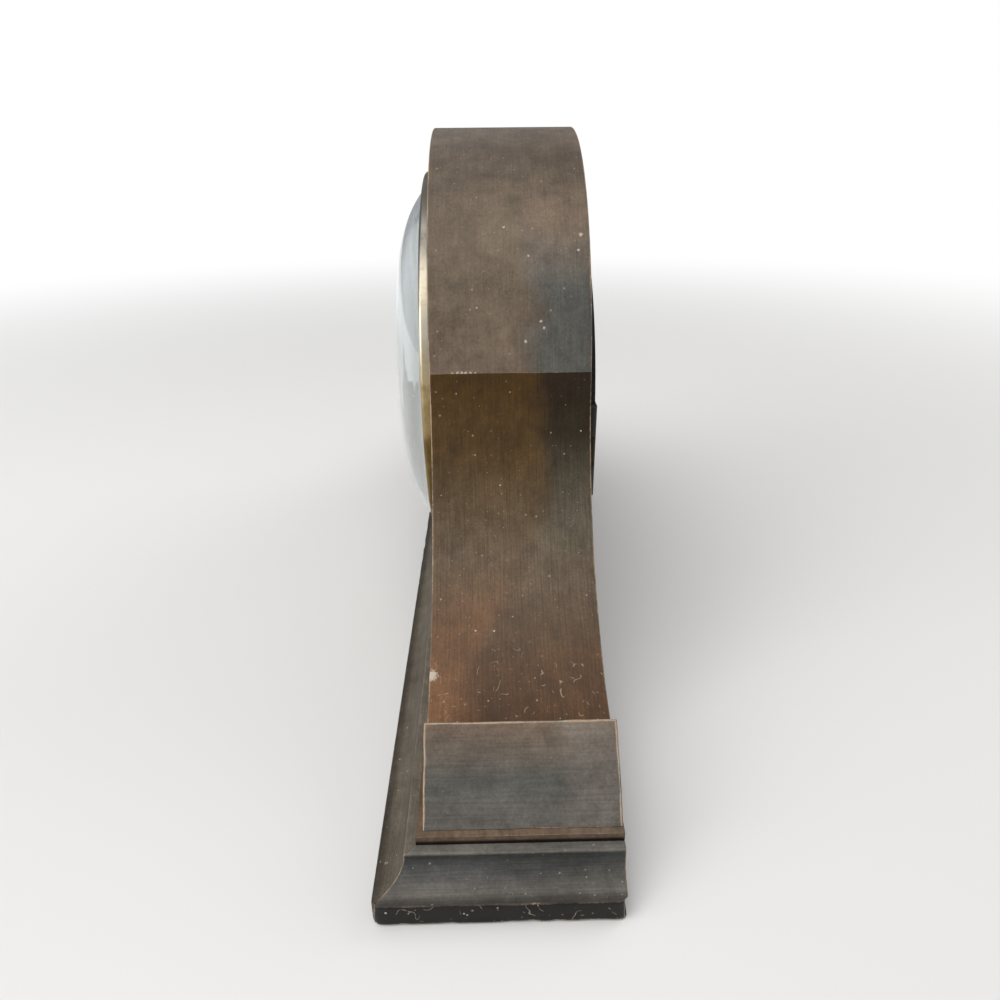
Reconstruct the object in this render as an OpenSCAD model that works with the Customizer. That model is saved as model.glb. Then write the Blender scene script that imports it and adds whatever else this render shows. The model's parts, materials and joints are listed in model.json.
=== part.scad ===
// Tambour mantel clock: a stained wooden hat-shaped case with a domed glass,
// an eight-day spring movement and a short pendulum behind a round back door.
// X runs along the length, the dial faces -Y, Z is up. The origin is the
// middle of the base board's underside.

/* [Case] */
// Depth of the case, front face to back face
body_d = 68; // [66:0.5:80]
// Radius of the arch over the dial
arch_r = 113.2; // [112:0.2:118]
// Height of the arch's centre above the table
arch_z = 127.5; // [125:0.5:132]
// Height of the sharp crease where the arch meets the wing
crease_z = 146.5; // [142:0.5:152]
// Radius of the hollow sweep of each wing
sweep_r = 128; // [118:1:150]
// Height at which the sweep runs out against the end block
sweep_end_z = 37.4; // [34:0.2:42]
// Thickness of the bent skins over the arch and the wings
skin_t = 3; // [2:0.5:4]
// Thickness of the front and back boards
board_t = 9; // [8:0.5:11]
// Distance from the centre to the inner face of an end block
block_in_x = 208; // [204:1:216]
// Thickness of an end block at its ridge, along the length
ridge_in = 4.2; // [3:0.2:6]
// Height of the end block's ridge
ridge_z = 49.5; // [46:0.5:56]
// Distance from the centre to the foot of the end block's slope
block_foot_x = 236; // [230:1:246]

/* [Base] */
// Thickness of the base board
base_h = 24; // [22:0.5:28]
// How far the base board stands out as a ledge
ledge = 2.2; // [1.6:0.2:3]
// How far the moulding stands out past the ledge
moulding_w = 14.3; // [13:0.1:18]
// Height of the moulding
moulding_h = 20.4; // [19:0.2:22]
// Height of the upright edge of the moulding
plinth_h = 9.2; // [8:0.2:10]
// Radius of the hollow in the moulding
cove_r = 10; // [8:0.5:10]
// Width of the narrow flat between the plinth and the hollow
lip = 0.5; // [0.3:0.1:1]

/* [Dial and bezel] */
// Radius of the bezel
bezel_r = 97; // [94:0.5:99]
// Gap between the base board and the bezel
bezel_gap = 3; // [2:0.5:4]
// How far the bezel stands out from the front board
bezel_h = 5.4; // [5:0.1:7]
// Width of the bezel's lip over the glass
lip_w = 5.4; // [4:0.2:6]
// Depth of the glass, from its seat to the middle of the dome
glass_rise = 18; // [14:0.5:22]
// How squarely the glass turns in at its edge: 2 is a plain bowl
glass_bulge = 5; // [2.5:0.5:6]
// Thickness of the glass
glass_t = 1.6; // [1.2:0.1:2]
// Thickness of the dial plate
dial_t = 0.8; // [0.5:0.1:1]
// Radius of the round opening in the front board
front_hole_r = 58; // [54:0.5:60]
// Length of the minute hand from the arbor to its tip
minute_len = 76; // [66:1:80]
// Length of the hour hand from the arbor to its tip
hour_len = 52; // [44:1:56]

/* [Back door] */
// Height of the back door's centre
door_z = 110; // [108:1:114]
// Radius of the back door
door_r = 84; // [80:1:86]
// Thickness of the back door
door_t = 6; // [5:0.5:7]
// Height of the middle of the back door's hinge
hinge_z = 101; // [98:1:112]
// Radius of the opening in the back board
back_hole_r = 74; // [70:1:76]

/* [Movement] */
// Width of the movement's plates
plate_w = 76; // [74:1:84]
// Thickness of a plate
plate_t = 1.6; // [1.2:0.2:2]
// Distance between the plates
plate_gap = 28; // [28:0.5:31]
// Height of the plates above the hands
plate_up = 58; // [57:1:62]
// Reach of the plates below the hands
plate_down = 68; // [67:1:72]
// Distance from the hands down to the winding arbor
barrel_drop = 44; // [42:0.5:46]
// Radius of the mainspring barrel
barrel_r = 22; // [20:0.5:23]
// Length of the mainspring barrel
barrel_len = 13; // [11:0.5:13.5]
// Angle of the third wheel's arbor round the centre arbor
third_angle = 120; // [116:1:124]
// Distance from the escape wheel's arbor up to the pallet arbor
pallet_rise = 17.6; // [17.4:0.1:19]
// Radius of an arbor
arbor_r = 1.2; // [1:0.1:1.4]
// Radius of a pivot
pivot_r = 0.6; // [0.5:0.05:0.8]
// Running clearance of a pivot in its hole
run_fit = 0.05; // [0.03:0.01:0.08]

/* [Pendulum] */
// Length from the pendulum's bending point to the middle of the bob
pendulum_len = 115; // [100:1:118]
// Radius of the bob
bob_r = 15; // [12:0.5:17]
// Thickness of the bob
bob_t = 7; // [5:0.5:8]
// Radius of the rod
rod_r = 0.9; // [0.7:0.1:1.1]

/* [Hidden] */
$fn = 96;

// Places worked out from the sizes above
y_back = (body_d + ledge) / 2;
y_front = y_back - body_d;
base_x = block_foot_x + ledge;
dial_z = base_h + bezel_gap + bezel_r;
crease_x = sqrt(arch_r * arch_r - (crease_z - arch_z) * (crease_z - arch_z));
ridge_x = block_in_x + ridge_in;
eps = 0.01;

// Centre of the sweep's arc, through the crease and its run-out at the block
chord = [block_in_x - crease_x, sweep_end_z - crease_z];
chord_len = norm(chord);
sweep_back = sqrt(sweep_r * sweep_r - chord_len * chord_len / 4);
sweep_c = [
    (block_in_x + crease_x) / 2 - chord[1] / chord_len * sweep_back,
    (sweep_end_z + crease_z) / 2 + chord[0] / chord_len * sweep_back
];

// Fits
seat = 0.3;
slip = 0.1;

// Draws a shape in the X-Z plane and gives it thickness from y0 towards +Y
module slab(y0, t) {
    translate([0, y0 + t, 0]) rotate([90, 0, 0]) linear_extrude(t) children();
}

// A rod along +Y
module rod_y(x, y0, z, r, len) {
    translate([x, y0, z]) rotate([-90, 0, 0]) cylinder(r = r, h = len);
}

// A revolved profile whose axis is Y; the profile's height runs towards -Y
module turned(y0, z) {
    translate([0, y0, z]) rotate([90, 0, 0]) rotate_extrude($fn = 180) children();
}

// Outline of the case from the base board up, drawn inside its surface by inset
module hat_outline(inset) {
    intersection() {
        translate([0, arch_z]) circle(r = arch_r - inset, $fn = 360);
        translate([-arch_r, crease_z]) square([2 * arch_r, arch_r]);
    }
    difference() {
        translate([-block_in_x, base_h]) square([2 * block_in_x, crease_z - base_h + eps]);
        for (side = [-1, 1])
            translate([side * sweep_c[0], sweep_c[1]]) circle(r = sweep_r + inset, $fn = 360);
    }
}

// Front board
module front_board() {
    color("saddlebrown") difference() {
        slab(y_front, board_t) difference() {
            hat_outline(skin_t);
            translate([0, dial_z]) circle(r = front_hole_r, $fn = 180);
        }
        for (p = mount_points)
            rod_y(p[0], y_front + board_t - mount_screw_len, dial_z + p[1],
                screw_r, mount_screw_len + eps);
        for (a = dial_screw_angles)
            rod_y(dial_screw_ring * cos(a), y_front - eps, dial_z + dial_screw_ring * sin(a),
                small_screw_r, dial_screw_len + eps);
    }
}

// Back board
module back_board() {
    color("saddlebrown") slab(y_back - board_t, board_t) difference() {
        hat_outline(skin_t);
        translate([0, door_z]) circle(r = back_hole_r, $fn = 180);
        translate([catch_x, door_z]) circle(r = catch_pin_r + run_fit);
    }
}

// Bent skin over the arch
module arch_skin() {
    color("dimgray") slab(y_front, body_d) intersection() {
        translate([0, arch_z]) difference() {
            circle(r = arch_r, $fn = 360);
            circle(r = arch_r - skin_t, $fn = 360);
        }
        translate([-arch_r, crease_z]) square([2 * arch_r, arch_r]);
    }
}

// Skin along one wing's hollow sweep
module wing_skin() {
    color("darkolivegreen") slab(y_front, body_d) intersection() {
        translate(sweep_c) difference() {
            circle(r = sweep_r + skin_t, $fn = 360);
            circle(r = sweep_r, $fn = 360);
        }
        translate([0, base_h]) square([block_in_x, crease_z - base_h]);
    }
}
module wing_skin_right() { wing_skin(); }
module wing_skin_left() { mirror([1, 0, 0]) wing_skin(); }

// Solid block that closes one end, with its sharp ridge and sloping face
module end_block() {
    color("dimgray") slab(y_front, body_d) polygon([
        [block_in_x, base_h],
        [block_foot_x, base_h],
        [ridge_x, ridge_z],
        [ridge_x - lip, ridge_z],
        [block_in_x, sweep_end_z]
    ]);
}
module end_block_right() { end_block(); }
module end_block_left() { mirror([1, 0, 0]) end_block(); }

// Base
block_size = 16;
block_len = 44;
block_x = 130;
wood_screw_r = 1.75;
wood_head_r = 3.5;
wood_head_h = 3;
wood_screw_bite = 10;
wood_screw_len = base_h + wood_screw_bite;
base_screw_places = [
    for (x = [-block_x, block_x])
        for (y = [y_front + board_t + block_size / 2, y_back - board_t - block_size / 2]) [x, y]
];

module wood_screw(grow) {
    cylinder(r = wood_screw_r + grow, h = wood_screw_len + grow);
    cylinder(r = wood_head_r + grow, h = wood_head_h + grow);
}

module base_board() {
    color("saddlebrown") difference() {
        translate([-base_x, y_front - ledge, 0]) cube([2 * base_x, body_d + ledge, base_h]);
        for (p = base_screw_places) translate([p[0], p[1], -eps]) wood_screw(slip);
    }
}

// Blocks glued in the corners between the boards and the base
module corner_blocks() {
    color("burlywood") difference() {
        for (p = base_screw_places)
            translate([p[0] - block_len / 2, p[1] - block_size / 2, base_h])
                cube([block_len, block_size, block_size]);
        for (p = base_screw_places) translate([p[0], p[1], 0]) wood_screw(slip);
    }
}

module base_screws() {
    color("darkgray") for (p = base_screw_places)
        translate([p[0], p[1], 0]) difference() {
            wood_screw(0);
            translate([-wood_head_r, -0.5, -eps]) cube([2 * wood_head_r, 1, 1.2]);
        }
}

// Section of the moulding: x is the distance out from the base board's edge
module moulding_section() {
    cove_x = moulding_w - lip;
    difference() {
        square([moulding_w, moulding_h]);
        translate([cove_x, plinth_h + cove_r]) circle(r = cove_r, $fn = 120);
        translate([cove_x - cove_r, plinth_h + cove_r]) square([2 * cove_r, moulding_h]);
        translate([cove_x, plinth_h]) square([cove_r, moulding_h]);
    }
}

module front_moulding() {
    color("darkolivegreen") intersection() {
        translate([-base_x - moulding_w, y_front - ledge, 0]) rotate([90, 0, 90])
            linear_extrude(2 * (base_x + moulding_w)) mirror([1, 0]) moulding_section();
        translate([0, 0, -eps]) linear_extrude(moulding_h + 1) polygon([
            [-base_x, y_front - ledge],
            [base_x, y_front - ledge],
            [base_x + moulding_w, y_front - ledge - moulding_w],
            [-base_x - moulding_w, y_front - ledge - moulding_w]
        ]);
    }
}

module end_moulding() {
    color("darkolivegreen") intersection() {
        translate([base_x, y_back, 0]) rotate([90, 0, 0])
            linear_extrude(body_d + ledge + moulding_w) moulding_section();
        translate([0, 0, -eps]) linear_extrude(moulding_h + 1) polygon([
            [base_x, y_front - ledge],
            [base_x, y_back],
            [base_x + moulding_w, y_back],
            [base_x + moulding_w, y_front - ledge - moulding_w]
        ]);
    }
}
module end_moulding_right() { end_moulding(); }
module end_moulding_left() { mirror([1, 0, 0]) end_moulding(); }

// Bezel and glass. Heights in these profiles are distances out from the board.
glass_r = bezel_r - 3.6;
lip_r = bezel_r - lip_w;
rim_h = 1.5;
glass_seat_h = bezel_h - 1.5;
dome_steps = 28;
hinge_x = -bezel_r - 2.1;
hinge_h = 2.8;
knuckle_r = 1.7;
knuckle_len = 8;
pin_r = 0.8;
leaf_w = 8;
leaf_t = 1;

function knuckle_z(k) = dial_z + (k - 1.5) * knuckle_len + slip;

module bezel_knuckle(k) {
    translate([hinge_x, y_front - hinge_h, knuckle_z(k)])
        cylinder(r = knuckle_r, h = knuckle_len - 2 * slip);
}

module bezel_pin_bore(r) {
    translate([hinge_x, y_front - hinge_h, dial_z - 2 * knuckle_len])
        cylinder(r = r, h = 4 * knuckle_len);
}

module bezel() {
    color("goldenrod") difference() {
        union() {
            turned(y_front, dial_z) difference() {
                polygon([
                    [lip_r, seat],
                    [bezel_r, seat],
                    [bezel_r, bezel_h - 1.4],
                    [bezel_r - 0.5, bezel_h - 0.5],
                    [bezel_r - 1.4, bezel_h],
                    [lip_r + 0.8, bezel_h],
                    [lip_r, bezel_h - 0.8]
                ]);
                square([glass_r, glass_seat_h + slip]);
            }
            for (k = [0, 2]) {
                bezel_knuckle(k);
                translate([hinge_x, y_front - hinge_h - knuckle_r, knuckle_z(k)])
                    cube([2 * knuckle_r, knuckle_r, knuckle_len - 2 * slip]);
            }
        }
        bezel_pin_bore(pin_r);
    }
}

// Height of the dome's outer face at the share s of its radius, from 0 to 1.
// The points crowd towards the rim, where the curve is tightest.
function dome_h(s) = glass_seat_h + glass_rise * (1 - pow(s, glass_bulge));
function dome_s(i) = sin(90 * i / dome_steps);

module bezel_glass() {
    color("lightcyan", 0.4) turned(y_front, dial_z) polygon(concat(
        [for (i = [0 : dome_steps]) [lip_r * dome_s(i), dome_h(dome_s(i))]],
        [[glass_r - slip, glass_seat_h], [glass_r - slip, rim_h], [lip_r - glass_t, rim_h]],
        [for (i = [dome_steps : -1 : 0])
            [(lip_r - glass_t) * dome_s(i), dome_h(dome_s(i)) - glass_t]]
    ));
}

// Ring that holds the glass in the bezel from behind
module glass_ring() {
    color("goldenrod") turned(y_front, dial_z)
        translate([glass_r - 3.4, seat + slip]) square([3.3, rim_h - seat - slip]);
}

module bezel_hinge_leaf() {
    color("goldenrod") difference() {
        union() {
            bezel_knuckle(1);
            translate([hinge_x - leaf_w, y_front - leaf_t, knuckle_z(1)])
                cube([leaf_w, leaf_t, knuckle_len - 2 * slip]);
            translate([hinge_x - knuckle_r, y_front - hinge_h, knuckle_z(1)])
                cube([knuckle_r, hinge_h, knuckle_len - 2 * slip]);
        }
        bezel_pin_bore(pin_r + run_fit);
    }
}

module bezel_hinge_pin() {
    color("gold") translate([hinge_x, y_front - hinge_h, dial_z - 1.5 * knuckle_len])
        cylinder(r = pin_r, h = 3 * knuckle_len);
}

// Spring clip on the board that the bezel's rim closes against
module bezel_catch() {
    color("goldenrod") translate([glass_r - 6.4, y_front - 1.1, dial_z - 4]) cube([2.6, 1.1, 8]);
}

// Dial and hands
dial_r = glass_r - 7.2;
dial_hole_r = 4.4;
dial_screw_ring = dial_r - 4;
dial_screw_angles = [45, 135, 225, 315];
dial_screw_len = 6;
small_screw_r = 0.9;
small_head_r = 1.7;
small_head_h = 0.7;
slot_w = 0.5;
winding_hole_r = 4.5;

module dial_plate() {
    color("ivory") slab(y_front - dial_t, dial_t) translate([0, dial_z]) difference() {
        circle(r = dial_r, $fn = 180);
        circle(r = dial_hole_r);
        translate([0, -barrel_drop]) circle(r = winding_hole_r);
        for (a = dial_screw_angles)
            translate([dial_screw_ring * cos(a), dial_screw_ring * sin(a)])
                circle(r = small_screw_r + run_fit);
    }
}

module dial_screws() {
    color("gold") for (a = dial_screw_angles) {
        x = dial_screw_ring * cos(a);
        z = dial_z + dial_screw_ring * sin(a);
        head_y = y_front - dial_t - small_head_h;
        difference() {
            rod_y(x, head_y, z, small_head_r, small_head_h);
            translate([x - small_head_r, head_y - eps, z - slot_w / 2])
                cube([2 * small_head_r, small_head_h / 2, slot_w]);
        }
        rod_y(x, head_y + small_head_h / 2, z, small_screw_r, dial_screw_len);
    }
}

hour_pipe_in = 2.7;
hour_pipe_out = 3.6;
cannon_r = 2.6;
hand_seat_r = cannon_r - 0.6;
centre_r = 1.5;
hand_t = 0.8;
hour_hand_h = dial_t + 1.6;
minute_hand_h = hour_hand_h + hand_t + 1.4;
nut_h = 2.4;
nut_r = 2.8;
nut_y = y_front - minute_hand_h - hand_t - slip - nut_h;
hand_tip_r = 0.4;
hand_stem_r = 0.9;

// Pointed leaf-shaped hand with a round boss, drawn upwards from its arbor
module hand_outline(len, wide, boss, tail) {
    hull() {
        translate([0, len - hand_tip_r]) circle(r = hand_tip_r);
        translate([0, len * 0.62]) circle(r = wide);
        translate([0, len * 0.2]) circle(r = hand_stem_r);
    }
    translate([-hand_stem_r, -tail]) square([2 * hand_stem_r, tail + len * 0.3]);
    circle(r = boss);
}

module minute_hand() {
    color("midnightblue") slab(y_front - minute_hand_h - hand_t, hand_t)
        translate([0, dial_z]) difference() {
            hand_outline(minute_len, 3, 4.4, 0);
            circle(r = hand_seat_r);
        }
}

module hour_hand() {
    color("midnightblue") slab(y_front - hour_hand_h - hand_t, hand_t)
        translate([0, dial_z]) rotate(-55) difference() {
            hand_outline(hour_len, 4.2, 5.6, 0);
            circle(r = hour_pipe_out);
        }
}

module hand_nut() {
    color("gold") difference() {
        rod_y(0, nut_y, dial_z, nut_r, nut_h);
        rod_y(0, nut_y - eps, dial_z, centre_r, nut_h + 1);
    }
}

// Movement: places on the plates, as [x, z] from the hands
great_teeth = 84;
second_leaves = 12;
second_teeth = 72;
centre_leaves = 9;
centre_teeth = 84;
third_leaves = 7;
third_teeth = 77;
escape_leaves = 7;
escape_teeth = 40;
great_m = 0.6;
second_m = 0.6;
centre_m = 0.5;
third_m = 0.42;
escape_r = 12.5;
function pitch_r(teeth, module_size) = teeth * module_size / 2;

// Teeth: heights above and below the pitch circle in modules, and the share of
// the pitch that is metal. A pair keeps play on both flanks.
wheel_top = 1;
wheel_root = 1.5;
wheel_share = 0.42;
leaf_top = 0.75;
leaf_root = 1.45;
leaf_share = 0.4;
wheel_tooth = [wheel_top, wheel_root, wheel_share, 0.78, 0.35];
leaf_tooth = [leaf_top, leaf_root, leaf_share, 0.85, 0.45];
spoke_w = 2;
rim_w = 2.2;
collar_t = 0.5;
leaf_len = 3;

// One tooth's points [radius, angle] for a shape [top, root, share, shoulder, tip]
function tooth_points(teeth, m, form) =
    let (r = pitch_r(teeth, m), half = form[2] * 180 / teeth) [
        [r - form[1] * m, -half], [r, -half],
        [r + form[0] * m * 0.55, -half * form[3]], [r + form[0] * m, -half * form[4]],
        [r + form[0] * m, half * form[4]], [r + form[0] * m * 0.55, half * form[3]],
        [r, half], [r - form[1] * m, half]
    ];

// Outline of a toothed wheel with one tooth pointing along +X
module toothed(teeth, m, form) {
    points = tooth_points(teeth, m, form);
    polygon([
        for (k = [0 : teeth - 1]) for (p = points)
            [p[0] * cos(p[1] + k * 360 / teeth), p[0] * sin(p[1] + k * 360 / teeth)]
    ]);
}

// The same with the spaces between its spokes cut out
module crossed(teeth, m, hub_r, spokes) {
    rim_r = pitch_r(teeth, m) - wheel_root * m - rim_w;
    difference() {
        toothed(teeth, m, wheel_tooth);
        difference() {
            circle(r = rim_r);
            circle(r = hub_r);
            for (k = [0 : spokes - 1]) rotate((k + 0.5) * 360 / spokes)
                translate([0, -spoke_w / 2]) square([rim_r + 1, spoke_w]);
        }
    }
}

// Direction from one place on the plates to another, in degrees
function toward(a, b) = atan2(b[1] - a[1], b[0] - a[0]);

barrel_p = [0, -barrel_drop];
great_to_second = pitch_r(great_teeth + second_leaves, great_m);
second_to_centre = pitch_r(second_teeth + centre_leaves, second_m);
second_drop = (barrel_drop * barrel_drop + second_to_centre * second_to_centre
    - great_to_second * great_to_second) / (2 * barrel_drop);
second_p = [sqrt(second_to_centre * second_to_centre - second_drop * second_drop), -second_drop];
centre_to_third = pitch_r(centre_teeth + third_leaves, centre_m);
third_p = [centre_to_third * cos(third_angle), centre_to_third * sin(third_angle)];
third_to_escape = pitch_r(third_teeth + escape_leaves, third_m);
escape_p = [0, third_p[1] + sqrt(third_to_escape * third_to_escape - third_p[0] * third_p[0])];
pallet_p = [0, escape_p[1] + pallet_rise];

plate_y = y_front + board_t;
gap_y = plate_y + plate_t;
back_y = gap_y + plate_gap;
behind_y = back_y + plate_t;

// Depths of the wheels behind the front plate
barrel_at = 2.4;
great_at = barrel_at + barrel_len + 0.2;
second_at = great_at + 3.8;
centre_at = second_at + 3.4;
third_at = 5;
escape_at = 12;
wheel_t = 1.4;

hub_r = 2.4;
thin_r = 0.7;

// Screws and pillars
pillar_r = 3;
pillar_inset = 13;
pillar_side = 5;
mount_inset = 4;
mount_points = [
    for (x = [-1, 1]) for (z = [plate_up - mount_inset, mount_inset - plate_down])
        [x * (plate_w / 2 - mount_inset), z]
];
pillar_points = [
    for (x = [-1, 1]) for (z = [plate_up - pillar_inset, pillar_inset - plate_down])
        [x * (plate_w / 2 - pillar_side), z]
];
screw_r = 1.2;
mount_screw_len = 7;
mount_head_r = 2.4;

module plate_outline() {
    translate([-plate_w / 2, -plate_down]) square([plate_w, plate_up + plate_down]);
}

module pivot_holes(r) {
    for (p = [second_p, third_p, escape_p, pallet_p]) translate(p) circle(r = r, $fn = 32);
}

module movement_front_plate() {
    color("gold") rod_y(minute_p[0], plate_y - stud_len, dial_z + minute_p[1], stud_r, stud_len + eps);
    color("gold") slab(plate_y, plate_t) translate([0, dial_z]) difference() {
        plate_outline();
        pivot_holes(pivot_r + run_fit);
        circle(r = centre_r + run_fit, $fn = 48);
        translate(barrel_p) circle(r = winding_r + run_fit, $fn = 48);
        for (p = mount_points) translate(p) circle(r = screw_r + run_fit, $fn = 32);
        for (p = pillar_points) translate(p) circle(r = screw_r + run_fit, $fn = 32);
    }
}

module movement_back_plate() {
    color("gold") slab(back_y, plate_t) translate([0, dial_z]) difference() {
        plate_outline();
        pivot_holes(pivot_r + run_fit);
        circle(r = pivot_r + run_fit, $fn = 32);
        translate(barrel_p) circle(r = winding_r + run_fit, $fn = 48);
        translate(click_p) circle(r = click_pin_r + run_fit, $fn = 32);
        for (p = mount_points) translate(p) circle(r = screw_r + 2, $fn = 32);
        for (p = pillar_points) translate(p) circle(r = screw_r + run_fit, $fn = 32);
    }
}

module plate_pillars() {
    color("gold") for (p = pillar_points) {
        rod_y(p[0], gap_y, dial_z + p[1], pillar_r, plate_gap);
        rod_y(p[0], plate_y, dial_z + p[1], screw_r, plate_gap + 2 * plate_t + 3);
    }
}

module pillar_nuts() {
    color("silver") for (p = pillar_points) difference() {
        rod_y(p[0], behind_y, dial_z + p[1], 2.8, 2.2);
        rod_y(p[0], behind_y - eps, dial_z + p[1], screw_r, 3);
    }
}

module mounting_screws() {
    color("silver") for (p = mount_points) {
        difference() {
            rod_y(p[0], gap_y, dial_z + p[1], mount_head_r, plate_t);
            translate([p[0] - mount_head_r, gap_y + plate_t / 2, dial_z + p[1] - slot_w / 2])
                cube([2 * mount_head_r, plate_t, slot_w]);
        }
        rod_y(p[0], gap_y - plate_t - mount_screw_len + slip, dial_z + p[1], screw_r,
            plate_t + mount_screw_len);
    }
}

// Spring barrel
winding_r = 2.6;
great_t = 1.6;
winding_square = 3.4;
core_r = 7.3;
drum_wall = 1.2;
click_pin_r = 1.2;
ratchet_r = 11;
ratchet_t = 1.8;
ratchet_gap = 0.4;
ratchet_teeth = 24;
ratchet_depth = 1.6;
click_r = 2.6;
click_tip_r = 0.8;
click_gap = -0.9;
click_spring_len = 14;
click_spring_t = 0.6;
click_foot = [5, 4.4];
overlap = 0.4;
click_p = barrel_p + [ratchet_r + 6, 6];
click_tip = barrel_p + [ratchet_r + click_tip_r + click_gap, -1];

module barrel() {
    y0 = gap_y + barrel_at;
    color("gold") difference() {
        union() {
            rod_y(0, y0, dial_z + barrel_p[1], barrel_r, barrel_len);
            slab(y0 + barrel_len, great_t) translate([0, dial_z + barrel_p[1]])
                rotate(toward(barrel_p, second_p)) toothed(great_teeth, great_m, wheel_tooth);
        }
        rod_y(0, y0 - eps, dial_z + barrel_p[1], barrel_r - drum_wall, barrel_len - drum_wall);
        rod_y(0, y0 - 1, dial_z + barrel_p[1], winding_r + run_fit, barrel_len + 5);
    }
}

module barrel_cover() {
    y0 = gap_y + barrel_at;
    color("goldenrod") difference() {
        rod_y(0, y0, dial_z + barrel_p[1], barrel_r - drum_wall, drum_wall);
        rod_y(0, y0 - 1, dial_z + barrel_p[1], winding_r + run_fit, drum_wall + 2);
    }
}

// Coiled spring: a strip wound from the arbor's core out to the drum's wall
coil_turns = 9;
coil_steps = 32;
coil_t = 0.5;
module mainspring() {
    y0 = gap_y + barrel_at + drum_wall + slip;
    last = coil_turns * coil_steps;
    inner = core_r + seat;
    pitch = (barrel_r - drum_wall - slip - coil_t - inner) / last;
    color("steelblue") slab(y0, barrel_len - 2 * drum_wall - 2 * slip)
        translate([0, dial_z + barrel_p[1]]) polygon(concat(
            [for (i = [0 : last]) (inner + pitch * i)
                * [cos(i * 360 / coil_steps), sin(i * 360 / coil_steps)]],
            [for (i = [last : -1 : 0]) (inner + pitch * i + coil_t)
                * [cos(i * 360 / coil_steps), sin(i * 360 / coil_steps)]]
        ));
}

module winding_arbor() {
    color("silver") translate([0, 0, dial_z + barrel_p[1]]) {
        rod_y(0, plate_y - 2, 0, winding_r, behind_y - plate_y + 2 + ratchet_gap + ratchet_t + 1.6);
        rod_y(0, gap_y + seat, 0, winding_r + 1.4, barrel_at - 2 * seat);
        rod_y(0, gap_y + barrel_at + drum_wall + seat, 0, core_r,
            barrel_len - 2 * drum_wall - 2 * seat);
        translate([-winding_square / 2, y_front - 1.5, -winding_square / 2])
            cube([winding_square, plate_y - y_front, winding_square]);
    }
}

module ratchet_wheel() {
    step = 360 / ratchet_teeth;
    color("silver") difference() {
        slab(behind_y + ratchet_gap, ratchet_t) translate([0, dial_z + barrel_p[1]])
            rotate(toward(barrel_p, click_tip) + 0.16 * step) polygon([
                for (k = [0 : ratchet_teeth - 1])
                    for (q = [[ratchet_r, -0.5], [ratchet_r - ratchet_depth, -0.44]])
                        [q[0] * cos((k + q[1]) * step), q[0] * sin((k + q[1]) * step)]
            ]);
        rod_y(0, behind_y, dial_z + barrel_p[1], winding_r, ratchet_t + 2);
    }
}

module click() {
    y0 = behind_y + ratchet_gap;
    color("gold") {
        slab(y0, ratchet_t) translate([0, dial_z]) hull() {
            translate(click_p) circle(r = click_r, $fn = 32);
            translate(click_tip) circle(r = click_tip_r, $fn = 32);
        }
        rod_y(click_p[0], back_y, dial_z + click_p[1], click_pin_r, plate_t + ratchet_gap);
    }
}

module click_spring() {
    y0 = behind_y;
    color("silver") slab(y0, ratchet_t) translate([0, dial_z]) {
        translate(click_p + [click_r + 0.8, -click_spring_len])
            square([click_spring_t, click_spring_len]);
        translate(click_p + [click_r - 0.6, -click_spring_len - click_foot[1] + overlap])
            square(click_foot);
    }
}

// A crossed wheel and a pinion on an arbor with its pivots. turns are the
// angles of a wheel's tooth and of a pinion's leaf.
module train_arbor(p, teeth, m, wheel_at, leaf_at, turns, core_r) {
    x = p[0];
    z = dial_z + p[1];
    rod_y(x, gap_y + seat, z, arbor_r, leaf_at - seat + overlap);
    rod_y(x, gap_y + leaf_at, z, core_r, leaf_len);
    rod_y(x, gap_y + leaf_at + leaf_len - overlap, z, arbor_r,
        plate_gap - leaf_at - leaf_len - seat + overlap);
    rod_y(x, plate_y - seat, z, pivot_r, plate_gap + 2 * plate_t + 2 * seat);
    slab(gap_y + wheel_at, wheel_t) translate([x, z]) rotate(turns[0])
        crossed(teeth, m, hub_r, 5);
}

// Lantern pinion: round pins between two collars
module lantern(p, leaves, m, leaf_at, turn, pin) {
    r = pitch_r(leaves, m);
    for (y = [0, leaf_len - collar_t])
        rod_y(p[0], gap_y + leaf_at + y, dial_z + p[1], r + 2 * pin, collar_t);
    for (k = [0 : leaves - 1]) {
        a = turn + k * 360 / leaves;
        rod_y(p[0] + r * cos(a), gap_y + leaf_at + eps, dial_z + p[1] + r * sin(a),
            pin, leaf_len - 2 * eps);
    }
}

// A tooth of the driving wheel points at the next arbor, and a gap of the
// pinion there points back at it
function gap_turn(from, to, leaves) = toward(to, from) + 180 / leaves;

module second_wheel() {
    color("gold") {
        train_arbor(second_p, second_teeth, second_m, second_at, great_at - 0.8,
            [toward(second_p, [0, 0]), 0], arbor_r);
        slab(gap_y + great_at - 0.8, leaf_len) translate([second_p[0], dial_z + second_p[1]])
            rotate(gap_turn(barrel_p, second_p, second_leaves))
                toothed(second_leaves, great_m, leaf_tooth);
    }
}

module centre_wheel() {
    z = dial_z;
    color("gold") {
        rod_y(0, nut_y, z, centre_r, gap_y + plate_gap - seat - nut_y);
        rod_y(0, gap_y + seat, z, hub_r, 1);
        rod_y(0, gap_y, z, pivot_r, plate_gap + plate_t + seat);
        slab(gap_y + centre_at, wheel_t) translate([0, z])
            rotate(toward([0, 0], third_p)) crossed(centre_teeth, centre_m, hub_r, 5);
        slab(gap_y + second_at - 0.8, leaf_len) translate([0, z])
            rotate(gap_turn(second_p, [0, 0], centre_leaves))
                toothed(centre_leaves, second_m, leaf_tooth);
    }
}

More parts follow.
